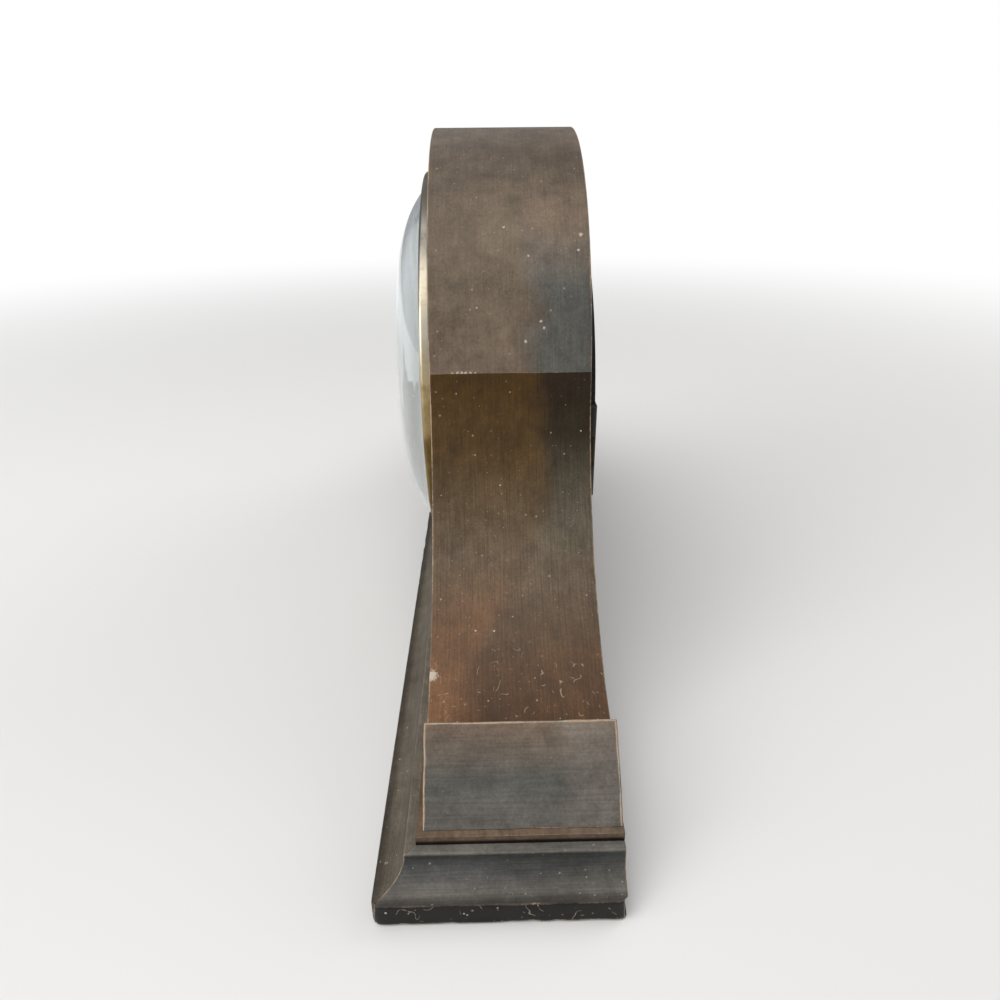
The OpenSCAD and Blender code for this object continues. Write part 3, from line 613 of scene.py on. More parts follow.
class Recipe:
    """One material, built from nodes round a Principled shader."""

    def __init__(self, name: str) -> None:
        """Starts a material that has only its shader and its output.

        Args:
            name: the material's name.
        """
        self.material = bpy.data.materials.new(name)
        self.material.use_nodes = True
        self.tree = self.material.node_tree
        self.tree.nodes.clear()
        self.surface = self.node("ShaderNodeBsdfPrincipled")
        self.output = self.node("ShaderNodeOutputMaterial")
        self.tree.links.new(self.surface.outputs[0], self.output.inputs["Surface"])

    def node(
        self,
        kind: str,
        settings: dict[str, Any] | None = None,
        inputs: dict[Any, Any] | None = None,
    ) -> bpy.types.Node:
        """Adds a node.

        Args:
            kind: the node's type.
            settings: its properties, set first; "stops" gives a ramp's (place, colour) pairs.
            inputs: values or flows of its sockets, by name or number.

        Returns:
            The node.
        """
        made = self.tree.nodes.new(kind)
        for key, value in (settings or {}).items():
            if key == "stops":
                ramp = made.color_ramp.elements
                while len(ramp) < len(value):
                    ramp.new(0.5)
                for element, (place, colour) in zip(ramp, value):
                    element.position = place
                    element.color = (*colour, 1.0)
            else:
                setattr(made, key, value)
        for key, value in (inputs or {}).items():
            self.feed(made.inputs[key], value)
        return made

    def feed(self, socket: bpy.types.NodeSocket, value: Any) -> None:
        """Links a flow to a socket, or sets its number, vector or colour.

        Args:
            socket: the input socket.
            value: a flow, a number, a vector, or a colour of three values.
        """
        if isinstance(value, Flow):
            self.tree.links.new(value.socket, socket)
        elif isinstance(value, (tuple, list)) and socket.type == "RGBA":
            socket.default_value = (*value[:3], 1.0)
        else:
            socket.default_value = value

    def flow(self, node: bpy.types.Node, output: Any = 0) -> Flow:
        """One of a node's outputs as a flow."""
        return Flow(self, node.outputs[output])

    def math(self, operation: str, first: Any, second: Any = 0.0) -> Flow:
        """A Math node's result."""
        return self.flow(
            self.node("ShaderNodeMath", {"operation": operation}, {0: first, 1: second})
        )

    def most(self, *flows: Flow) -> Flow:
        """The greatest of some flows.

        Args:
            flows: at least one flow.

        Returns:
            Their maximum at each place.
        """
        best = flows[0]
        for flow in flows[1:]:
            best = self.math("MAXIMUM", best, flow)
        return best

    def place(self, scale: Point = (1.0, 1.0, 1.0), follow: bool = False) -> Flow:
        """Coordinates in metres times a scale: the object's own, or the piece's UV map.

        Args:
            scale: the factor along each axis.
            follow: whether to use the UV map, which follows the surface.

        Returns:
            A vector flow.
        """
        if follow:
            source = self.flow(self.node("ShaderNodeUVMap", {"uv_map": "along"}), "UV")
        else:
            source = self.flow(self.node("ShaderNodeTexCoord"), "Object")
        return self.flow(self.node("ShaderNodeMapping", None, {"Vector": source, "Scale": scale}))

    def noise(
        self, where: Flow, scale: float, detail: float = 4.0, rough: float = 0.55, warp: float = 0.0
    ) -> Flow:
        """Fractal noise from 0 to 1.

        Args:
            where: the coordinates, in metres unless they were scaled.
            scale: lumps per metre, or per scaled unit.
            detail: how many finer layers are added.
            rough: how strong each finer layer is.
            warp: how much the noise bends itself.

        Returns:
            The noise.
        """
        made = self.node(
            "ShaderNodeTexNoise",
            {"noise_dimensions": "3D"},
            {
                "Vector": where,
                "Scale": scale,
                "Detail": detail,
                "Roughness": rough,
                "Distortion": warp,
            },
        )
        return self.flow(made)

    def step(self, value: Flow, low: float, high: float) -> Flow:
        """A smooth step.

        Args:
            value: the flow that is tested.
            low: where the step begins.
            high: where it ends.

        Returns:
            0 below low, 1 above high, smooth between.
        """
        return self.flow(
            self.node(
                "ShaderNodeMapRange",
                {"interpolation_type": "SMOOTHSTEP"},
                {"Value": value, "From Min": low, "From Max": high},
            )
        )

    def mix(self, share: Flow | float, first: Any, second: Any, blend: str = "MIX") -> Flow:
        """Two colours mixed; sockets 6 and 7 take them, and output 2 gives the result.

        Args:
            share: how much of the second colour, or of its blend, is taken.
            first: the colour below.
            second: the colour above.
            blend: how the second one is laid over the first.

        Returns:
            The mixed colour.
        """
        settings = {"data_type": "RGBA", "blend_type": blend}
        return self.flow(
            self.node("ShaderNodeMix", settings, {0: share, 6: first, 7: second}), 2
        )

    def bump(self, height: Flow, strength: float, distance: float) -> None:
        """Feeds the shader's normal from a height.

        Args:
            height: the relief, about from 0 to 1.
            strength: how much of the tilt is used.
            distance: the relief's depth in metres.
        """
        made = self.node(
            "ShaderNodeBump", None, {"Height": height, "Strength": strength, "Distance": distance}
        )
        self.feed(self.surface.inputs["Normal"], self.flow(made))

    def dress(self, **sockets: Any) -> "Recipe":
        """Sets or links the shader's sockets.

        Args:
            sockets: values or flows by name; an underscore in a name stands for a space.

        Returns:
            The same recipe.
        """
        for key, value in sockets.items():
            self.feed(self.surface.inputs[key.replace("_", " ")], value)
        return self

    def rub(self) -> Flow:
        """How near the surface is to a worn edge, from the piece's own attribute."""
        return self.flow(self.node("ShaderNodeAttribute", {"attribute_name": "rub"}), "Fac")

    def spot(self, axis: str) -> Flow:
        """One of the object's own coordinates.

        Args:
            axis: X, Y or Z.

        Returns:
            The coordinate in millimetres.
        """
        source = self.flow(self.node("ShaderNodeTexCoord"), "Object")
        parts = self.node("ShaderNodeSeparateXYZ", None, {0: source})
        return self.flow(parts, axis) * MM_PER_M

    def ramp(self, value: Flow, stops: Tones) -> Flow:
        """A colour for each height.

        Args:
            value: the height in millimetres.
            stops: colours by height, up to RAMP_TOP.

        Returns:
            The colour, blended evenly between the stops.
        """
        scaled = [(place / RAMP_TOP, colour) for place, colour in stops]
        share = value * (1.0 / RAMP_TOP)
        made = self.node("ShaderNodeValToRGB", {"stops": scaled}, {"Fac": share})
        return self.flow(made, "Color")

    def near(self, place: Place, ragged: Flow) -> Flow:
        """1 on a small nick or a spot of painted highlight, 0 off it, with a torn border.

        Args:
            place: the nick's X, Y, Z and radius in millimetres.
            ragged: noise that makes the radius up to three times as large, or takes it to none.

        Returns:
            The mask, soft over 0.2 mm.
        """
        at = tuple(number * MM for number in place[:3])
        source = self.flow(self.node("ShaderNodeTexCoord"), "Object")
        made = self.node("ShaderNodeVectorMath", {"operation": "DISTANCE"}, {0: source, 1: at})
        span = self.flow(made, "Value") * MM_PER_M
        return self.step(place[3] * (1.0 + 4.0 * (ragged - 0.5)) - span, -0.1, 0.1)

    def dots(self, scale: float, size: float, follow: bool, share: float) -> Flow:
        """Small round flecks, one at most in each cell of a random lattice.

        Args:
            scale: cells per metre.
            size: the largest fleck's radius in cells.
            follow: whether the lattice lies on the piece's UV map.
            share: how many of the cells have one.

        Returns:
            The mask.
        """
        cells = self.node(
            "ShaderNodeTexVoronoi",
            {"voronoi_dimensions": "2D" if follow else "3D", "feature": "F1"},
            {"Vector": self.place(follow=follow), "Scale": scale},
        )
        pick = self.flow(self.node("ShaderNodeSeparateColor", None, {0: self.flow(cells, "Color")}))
        radius = self.step(pick, 1.0 - share, 1.0) * size
        return self.step(radius - self.flow(cells, "Distance"), 0.0, size * 0.3)

    def hairs(self, where: Flow, scale: float, thin: float, share: float) -> Flow:
        """Short curved scratches: thin bands round one value of smooth noise, cut by another.

        Args:
            where: the coordinates, in metres.
            scale: bends per metre.
            thin: the band's half width, as a share of the noise's range.
            share: how much of each band is left after the cut.

        Returns:
            The mask.
        """
        line = self.math("ABSOLUTE", self.noise(where, scale, 1.0, 0.4, 0.6) - 0.5)
        cut = self.step(self.noise(where, scale * 1.7, 1.0, 0.5), 1.0 - share, 1.03 - share)
        return (1.0 - self.step(line, thin * 0.5, thin)) * cut


# Colours that all the stained wood shares: its narrow faces, pale flecks, dust in bare patches,
# their darker pores, and freshly chipped wood, whose colour also paints a highlight along the
# arch's crease.
RIM = srgb(84, 66, 47)
FLECK = srgb(176, 160, 140)
DUSTY = srgb(186, 172, 152)
SHADED = srgb(140, 116, 94)
FRESH_AND_GLINT = srgb(198, 186, 168)


@dataclass(frozen=True)
class StainedWood:
    """Dark stained, satin wood: its colour drifts with height, partly as painted shade and
    highlight, and its edges are worn bare.

    Attributes:
        name: the material's name.
        front: colours by height near the front: the stain's tone, and on some finishes painted
            shade and highlight.
        back: colours by height near the back, of the same kinds.
        border: depth in millimetres where the one passes into the other.
        lean: how far the border moves back for each millimetre below lean_below; on the sweep this
            lays a painted diagonal shadow.
        lean_below: the height where the border starts to lean.
        follow: whether grain and flecks follow the piece's UV map.
        grain: the grain's fineness along each axis, per metre.
        streak: how strong the grain is.
        specks: how strong the pale flecks are.
        wear: how wide the bare edges are.
        bare: the colour of worn edges.
        nicks: chips with a place of their own, and on the arch a row of spots that paint a
            highlight along its crease.
        scratched: heights between which the hair scratches end.
        rim: middle and half of the depth past which the narrow faces lie.
    """

    name: str
    front: Tones
    back: Tones
    border: float = 8.0
    lean: float = 0.0
    lean_below: float = 82.0
    follow: bool = True
    grain: Point = (45.0, 1300.0, 1.0)
    streak: float = 0.5
    specks: float = 1.0
    wear: float = 1.0
    bare: Colour = srgb(182, 154, 126)
    nicks: tuple[Place, ...] = ()
    scratched: tuple[float, float] = (0.0, 1.0)
    rim: tuple[float, float] = (0.0, 0.0)

    def tint(self, mix: Recipe, cloud: Flow, broad: Flow) -> Flow:
        """The colour before wear: front and back tones, both mottled; on some finishes these hold
        painted shade and highlight.

        Args:
            mix: the material.
            cloud: noise of about a centimetre.
            broad: noise of about four centimetres, which also bends the border.

        Returns:
            The colour.
        """
        height, depth = mix.spot("Z"), mix.spot("Y")
        # Low down the border leans forward; on the sweep its darker back tones lay a painted
        # diagonal shadow.
        slope = mix.math("MAXIMUM", self.lean_below - height, 0.0) * self.lean
        side = mix.step(depth + slope + (broad - 0.5) * 34.0, self.border - 7.0, self.border + 7.0)
        base = mix.mix(side, mix.ramp(height, self.front), mix.ramp(height, self.back))
        middle, half = self.rim
        if half > 0:
            away = mix.math("ABSOLUTE", depth - middle)
            base = mix.mix(mix.step(away, half - 0.25, half - 0.05), base, RIM)
        base = mix.mix(0.5, base, broad, "OVERLAY")
        return mix.mix(0.55, base, cloud, "OVERLAY")

    def flecks(self, mix: Recipe, plain: Flow) -> Flow:
        """Sparse flecks, finer ones, and hair scratches low down where the finish has them.

        Args:
            mix: the material.
            plain: the object's own coordinates.

        Returns:
            How strongly the pale colour covers the stain.
        """
        found = mix.most(
            mix.dots(115.0, 0.055, self.follow, 0.5), mix.dots(290.0, 0.075, self.follow, 0.32)
        )
        low, high = self.scratched
        if low > 0:
            zone = 1.0 - mix.step(mix.spot("Z"), low, high)
            found = mix.most(found, mix.hairs(plain, 150.0, 0.012, 0.42) * zone)
        return found * (0.55 * self.specks)

    def chips(self, mix: Recipe, plain: Flow) -> Flow:
        """The chips with a place of their own, and the spots of painted highlight, torn by fine
        noise.

        Args:
            mix: the material.
            plain: the object's own coordinates.

        Returns:
            The mask.
        """
        jagged = mix.noise(plain, 1900.0, 3.0, 0.8, 0.5)
        return mix.most(*(mix.near(place, jagged) for place in self.nicks))

    def build(self) -> bpy.types.Material:
        """Builds the material: stain with painted shade and highlight, grain and pores, then
        flecks, rubbed edges and chips with painted glints.

        Returns:
            The material.
        """
        mix = Recipe(self.name)
        plain = mix.place()
        # Lumps per metre: pores of 1 mm, cloudy patches of 8 mm and 4 cm, and borders of bare
        # wood that fray by the millimetre and come and go every 2 cm.
        streak = mix.noise(mix.place(self.grain, self.follow), 1.0, 4.0, 0.6)
        pore = mix.noise(plain, 900.0, 4.0, 0.65)
        broad = mix.noise(plain, 26.0, 3.0, 0.55, 0.3)
        cloud = mix.noise(plain, 130.0, 4.0, 0.6, 0.3)
        ragged = mix.noise(plain, 700.0, 5.0, 0.7)
        drift = mix.noise(plain, 48.0, 3.0, 0.6)
        tint = mix.mix(self.streak, self.tint(mix, cloud, broad), streak, "OVERLAY")
        tint = mix.mix(0.45, tint, pore, "OVERLAY")
        speck = self.flecks(mix, plain)
        level = mix.rub() + (ragged - 0.5) * 0.55 + (drift - 0.5) * 0.9
        widened = 0.12 * self.wear
        rubbed = mix.step(level, 0.93 - widened, 1.06 - widened)
        peach = mix.mix(mix.step(drift, 0.42, 0.6), DUSTY, self.bare)
        pale = mix.mix(mix.step(pore, 0.35, 0.65) * 0.5, peach, SHADED)
        tint = mix.mix(speck, tint, FLECK)
        tint = mix.mix(mix.step(level, 0.55, 0.95) * 0.3, tint, pale)
        tint = mix.mix(rubbed * 0.9, tint, pale)
        # Chips, and on the arch the spots of painted highlight along the crease, take the pale
        # fresh colour.
        if self.nicks:
            chip_and_glint = self.chips(mix, plain)
            tint = mix.mix(chip_and_glint * 0.9, tint, FRESH_AND_GLINT)
            rubbed = mix.most(rubbed, chip_and_glint)
        gloss = 0.47 + 0.2 * (cloud - 0.5) + 0.14 * (streak - 0.5) + 0.22 * rubbed
        relief = streak * 0.35 + pore * 0.35 + cloud * 0.2 - rubbed * 0.9 - speck * 0.5
        mix.bump(relief, 0.3, 0.0003)
        mix.dress(Base_Color=tint, Roughness=gloss, Specular_IOR_Level=0.24)
        return mix.material


@dataclass(frozen=True)
class BareWood:
    """Plain unstained wood of the inner blocks, with growth lines."""

    name: str
    light: Colour = srgb(176, 138, 98)
    dark: Colour = srgb(128, 92, 60)

    def build(self) -> bpy.types.Material:
        """Builds the material.

        Returns:
            The material.
        """
        mix = Recipe(self.name)
        fine = mix.noise(mix.place((18.0, 300.0, 300.0)), 1.0, 5.0, 0.6)
        broad = mix.noise(mix.place((6.0, 60.0, 60.0)), 1.0, 3.0, 0.5, 0.6)
        tint = mix.mix(mix.step(broad * 0.6 + fine * 0.4, 0.38, 0.62), self.light, self.dark)
        mix.bump(fine, 0.3, 0.0003)
        mix.dress(Base_Color=tint, Roughness=0.62 + 0.2 * (fine - 0.5))
        return mix.material


@dataclass(frozen=True)
class Metal:
    """Bare or lacquered metal with fine scratches, haze and tarnish, and tones by height that paint
    reflections and glints.
    """

    name: str
    bright: Colour
    tarnish: Colour
    rough: float = 0.28
    brushed: Point = (700.0, 40.0, 700.0)
    age: float = 0.5
    # Colours by height that the metal is multiplied by: painted reflection and glint.
    tones: Tones = ()

    def build(self) -> bpy.types.Material:
        """Builds the material.

        Returns:
            The material.
        """
        mix = Recipe(self.name)
        plain = mix.place()
        lines = mix.noise(mix.place(self.brushed), 1.0, 3.0, 0.6)
        haze = mix.noise(plain, 70.0, 4.0, 0.6, 0.5)
        spots = mix.step(mix.noise(plain, 520.0, 3.0, 0.6), 0.62, 0.7)
        aged = mix.step(haze, 0.42, 0.68) * self.age + spots * 0.35 * self.age
        tint = mix.mix(aged, self.bright, self.tarnish)
        # The painted reflection and glint: the colour multiplied by the tones by height.
        if self.tones:
            tint = mix.mix(1.0, tint, mix.ramp(mix.spot("Z"), self.tones), "MULTIPLY")
        mix.bump(lines, 0.08, 0.0001)
        mix.dress(
            Base_Color=tint,
            Metallic=1.0,
            Roughness=self.rough + 0.18 * (lines - 0.5) + 0.22 * aged,
        )
        return mix.material


@dataclass(frozen=True)
class Paint:
    """Paint on a smooth plate: a little cloudy, with fine specks and a faint texture."""

    name: str
    colour: Colour
    cloud: Colour
    rough: float = 0.4

    def build(self) -> bpy.types.Material:
        """Builds the material.

        Returns:
            The material.
        """
        mix = Recipe(self.name)
        plain = mix.place()
        haze = mix.noise(plain, 40.0, 4.0, 0.6, 0.4)
        fleck = mix.step(mix.noise(plain, 1300.0, 2.0, 0.5), 0.68, 0.74)
        fine = mix.noise(plain, 2400.0, 3.0, 0.6)
        tint = mix.mix(mix.step(haze, 0.4, 0.72) * 0.7 + fleck * 0.3, self.colour, self.cloud)
        mix.bump(fine + haze, 0.06, 0.0001)
        mix.dress(
            Base_Color=tint,
            Roughness=self.rough + 0.14 * (haze - 0.5) + 0.08 * fleck,
        )
        return mix.material


@dataclass(frozen=True)
class Glass:
    """Clear old glass with a faint film of dust."""

    name: str

    def build(self) -> bpy.types.Material:
        """Builds the material.

        Returns:
            The material.
        """
        mix = Recipe(self.name)
        plain = mix.place()
        film = mix.step(mix.noise(plain, 55.0, 5.0, 0.65, 0.5), 0.45, 0.8)
        ripple = mix.noise(plain, 30.0, 2.0, 0.4)
        mix.bump(ripple, 0.03, 0.0004)
        mix.dress(
            Base_Color=mix.mix(film * 0.25, (0.945, 0.98, 0.985), (0.86, 0.89, 0.88)),
            Roughness=0.015 + 0.05 * film,
            Transmission_Weight=1.0,
            IOR=1.5,
        )
        return mix.material


class Finish(Enum):
    """Every finish of the clock."""

    ARCH = StainedWood(
        "arch_stain_and_glint",
        front=tones(
            (148.0, 116, 100, 84), (178.0, 107, 94, 78), (207.0, 107, 92, 75),
            (228.0, 88, 77, 66), (238.0, 104, 93, 82),
        ),
        back=tones(
            (148.0, 90, 88, 81), (178.0, 92, 91, 86), (204.0, 110, 93, 77), (228.0, 90, 78, 66),
            (238.0, 106, 93, 80),
        ),
        border=10.0,
        streak=0.36,
        rim=(1.1, 34.0),
        nicks=(
            (85.6, -0.7, 201.6, 0.45), (93.7, 9.2, 191.0, 0.4), (104.0, -12.4, 172.2, 0.35),
            (108.7, 7.6, 159.0, 0.6), (88.1, 31.3, 198.6, 0.7), (92.4, 30.0, 192.9, 0.5),
            # From the third one on this line, the nicks in a row along the crease at 146.8 mm are a
            # painted highlight on its edge, laid as pale chips.
            (106.2, 13.9, 166.8, 0.5), (107.1, 15.2, 164.1, 0.5), (111.6, -23.2, 146.8, 0.35),
            (111.6, -21.0, 146.8, 0.5), (111.6, -19.2, 146.8, 0.55), (111.6, -17.6, 146.8, 0.5),
            (111.6, -15.6, 146.8, 0.45), (111.6, -13.6, 146.8, 0.3),
        ),
    )
    # Tones by height: darker up towards the crease, where the face turns downward, and lighter and
    # warmer low down, where it turns up: painted shade and light over the stain. The darker back
    # tones, whose border leans forward low down, are a painted diagonal shadow.
    SWEEP = StainedWood(
        "sweep_stain_and_shade",
        front=tones(
            (41.0, 114, 79, 51), (54.0, 108, 77, 51), (76.0, 100, 83, 65), (92.0, 91, 74, 53),
            (112.0, 83, 62, 34), (144.0, 70, 48, 14),
        ),
        back=tones(
            (41.0, 80, 56, 36), (50.0, 82, 60, 41), (66.0, 96, 80, 63), (84.0, 93, 84, 69),
            (108.0, 68, 60, 47), (122.0, 44, 35, 22), (144.0, 40, 27, 12),
        ),
        border=15.0,
        lean=0.9,
        streak=0.6,
        scratched=(46.0, 56.0),
        rim=(1.1, 34.0),
        nicks=(
            (182.4, -32.0, 46.8, 2.0), (112.9, -21.8, 138.2, 0.3), (116.9, 30.8, 122.4, 0.3),
            (125.6, -3.9, 101.7, 0.3), (166.3, -15.0, 56.0, 0.35), (166.7, -7.5, 55.9, 0.4),
        ),
    )
    BLOCK = StainedWood(
        "end_block_stain",
        front=tones(
            (25.0, 96, 92, 86), (36.0, 92, 90, 84), (45.0, 112, 98, 85), (49.0, 122, 103, 88),
        ),
        back=tones((25.0, 98, 93, 86), (38.0, 108, 100, 93), (48.0, 120, 110, 98)),
        border=14.0,
        follow=False,
        grain=(1300.0, 45.0, 1300.0),
        streak=0.4,
        wear=1.8,
        rim=(1.1, 34.0),
    )
    # Tones by height: the near-black plinth face and the hollow darkening towards its top are
    # painted shade over a darker stain, and the pale line on the bead's top at 20.39 mm is a
    # painted highlight.
    MOULDING = StainedWood(
        "moulding_stain_and_shade",
        front=tones(
            (0.0, 22, 17, 12), (8.8, 24, 19, 14), (9.5, 94, 89, 82), (13.0, 86, 85, 82),
            (18.6, 58, 59, 57), (19.4, 56, 55, 53), (20.25, 66, 64, 61), (20.39, 110, 106, 99),
        ),
        back=tones(
            (0.0, 22, 17, 12), (8.8, 24, 19, 14), (9.5, 92, 88, 82), (18.6, 57, 58, 57),
            (19.4, 56, 55, 53), (20.25, 64, 62, 59), (20.39, 106, 102, 96),
        ),
        streak=0.6,
        wear=1.2,
        bare=srgb(170, 152, 132),
        scratched=(8.2, 9.2),
        nicks=(
            (252.4, -19.0, 5.4, 0.3), (252.4, -17.9, 4.7, 0.25), (252.4, -44.5, 6.6, 0.35),
            (252.4, 3.6, 8.7, 0.3),
        ),
    )
    # Tones by height: the near-black plinth face is painted shade over a darker stain, and the
    # lighter top at 20.2 mm is a painted highlight.
    FRONT_MOULDING = StainedWood(
        "front_moulding_stain_and_shade",
        front=tones(
            (0.0, 30, 25, 19), (8.9, 34, 28, 22), (9.6, 92, 84, 72), (18.6, 80, 72, 61),
            (20.2, 108, 100, 88),
        ),
        back=tones((0.0, 30, 25, 19), (20.2, 108, 100, 88)),
        streak=0.6,
        wear=0.9,
        bare=srgb(150, 136, 116),
    )
    BOARD = StainedWood(
        "board_stain",
        front=tones((24.0, 86, 66, 46), (110.0, 92, 68, 46), (240.0, 98, 78, 58)),
        back=tones((24.0, 74, 60, 44), (240.0, 80, 66, 50)),
        follow=False,
        grain=(14.0, 500.0, 620.0),
        streak=0.9,
        specks=0.5,
    )
    # The near-black band up to 21.8 mm, on the board's end face just above the moulding, is painted
    # shade; the brown above it is the stain.
    LEDGE = StainedWood(
        "ledge_stain_and_shade",
        front=tones((20.0, 20, 16, 12), (21.8, 24, 19, 14), (22.4, 104, 86, 70)),
        back=tones((20.0, 20, 16, 12), (21.8, 24, 19, 14), (22.4, 104, 88, 72)),
        follow=False,
        grain=(40.0, 600.0, 1300.0),
        specks=1.2,
        rim=(-100.0, 135.1),
    )
    EDGE = BareWood("worn_edge", srgb(176, 144, 118), srgb(96, 76, 58))
    INNER_WOOD = BareWood("bare_wood")
    # The tones by height are a painted reflection over the brass: brightest round 158 mm and grey
    # above it; lower down the brass is darker and more golden.
    BEZEL = Metal(
        "bezel_brass_and_reflection",
        srgb(228, 220, 200),
        srgb(186, 172, 142),
        0.36,
        age=0.8,
        tones=tones(
            (40.0, 140, 118, 84), (105.0, 158, 138, 100), (135.0, 222, 206, 174),
            (158.0, 255, 252, 246), (176.0, 210, 208, 204), (194.0, 140, 141, 148),
            (218.0, 150, 150, 150),
        ),
    )
    BRASS = Metal("clock_brass", srgb(214, 184, 120), srgb(158, 126, 78), 0.28, age=0.5)
    STEEL = Metal("clock_steel", srgb(178, 178, 176), srgb(112, 108, 102), 0.3, age=0.35)
    # Dark up to 120.6 mm; above 121.4 mm the hinge and catch are near white, a painted glint.
    BRONZE = Metal(
        "dark_bronze_and_glint",
        srgb(214, 206, 192),
        srgb(150, 138, 122),
        0.42,
        age=0.6,
        tones=tones((0.0, 62, 54, 46), (120.6, 62, 54, 46), (121.4, 250, 246, 238)),
    )
    BLUED = Metal("blued_steel", srgb(38, 44, 78), srgb(22, 24, 34), 0.22, age=0.4)
    DIAL = Paint("silvered_dial", srgb(214, 210, 196), srgb(204, 197, 178), 0.42)
    INK = Paint("numeral_ink", srgb(28, 26, 24), srgb(44, 40, 36), 0.5)
    DOOR = StainedWood(
        "black_door_stain",
        front=tones((26.0, 22, 19, 16), (110.0, 30, 26, 22), (194.0, 24, 21, 18)),
        back=tones((26.0, 28, 24, 20), (110.0, 38, 33, 28), (194.0, 30, 26, 22)),
        follow=False,
        grain=(12.0, 420.0, 520.0),
        streak=0.9,
        specks=0.7,
    )
    DOOR_EDGE = BareWood("worn_door_edge", srgb(112, 94, 74), srgb(36, 30, 25))
    GLASS = Glass("domed_glass")


class Paintbox:
    """Builds each finish once and puts it on pieces."""

    def __init__(self) -> None:
        """Starts with nothing built."""
        self.made: dict[Finish, bpy.types.Material] = {}

    def coat(self, piece: bpy.types.Object, *finishes: Finish) -> None:
        """Gives a piece its finish, and a second one for the softened edges of its bevel.

        Args:
            piece: the piece or CAD node.
            finishes: the finish of its faces, and one for its bevel if it has that.
        """
        piece.data.materials.clear()
        for finish in finishes:
            if finish not in self.made:
                self.made[finish] = finish.value.build()
            piece.data.materials.append(self.made[finish])
        if len(finishes) > 1:
            piece.modifiers["soft edges"].material = 1


# ---------------------------------------------------------------- sub-assemblies


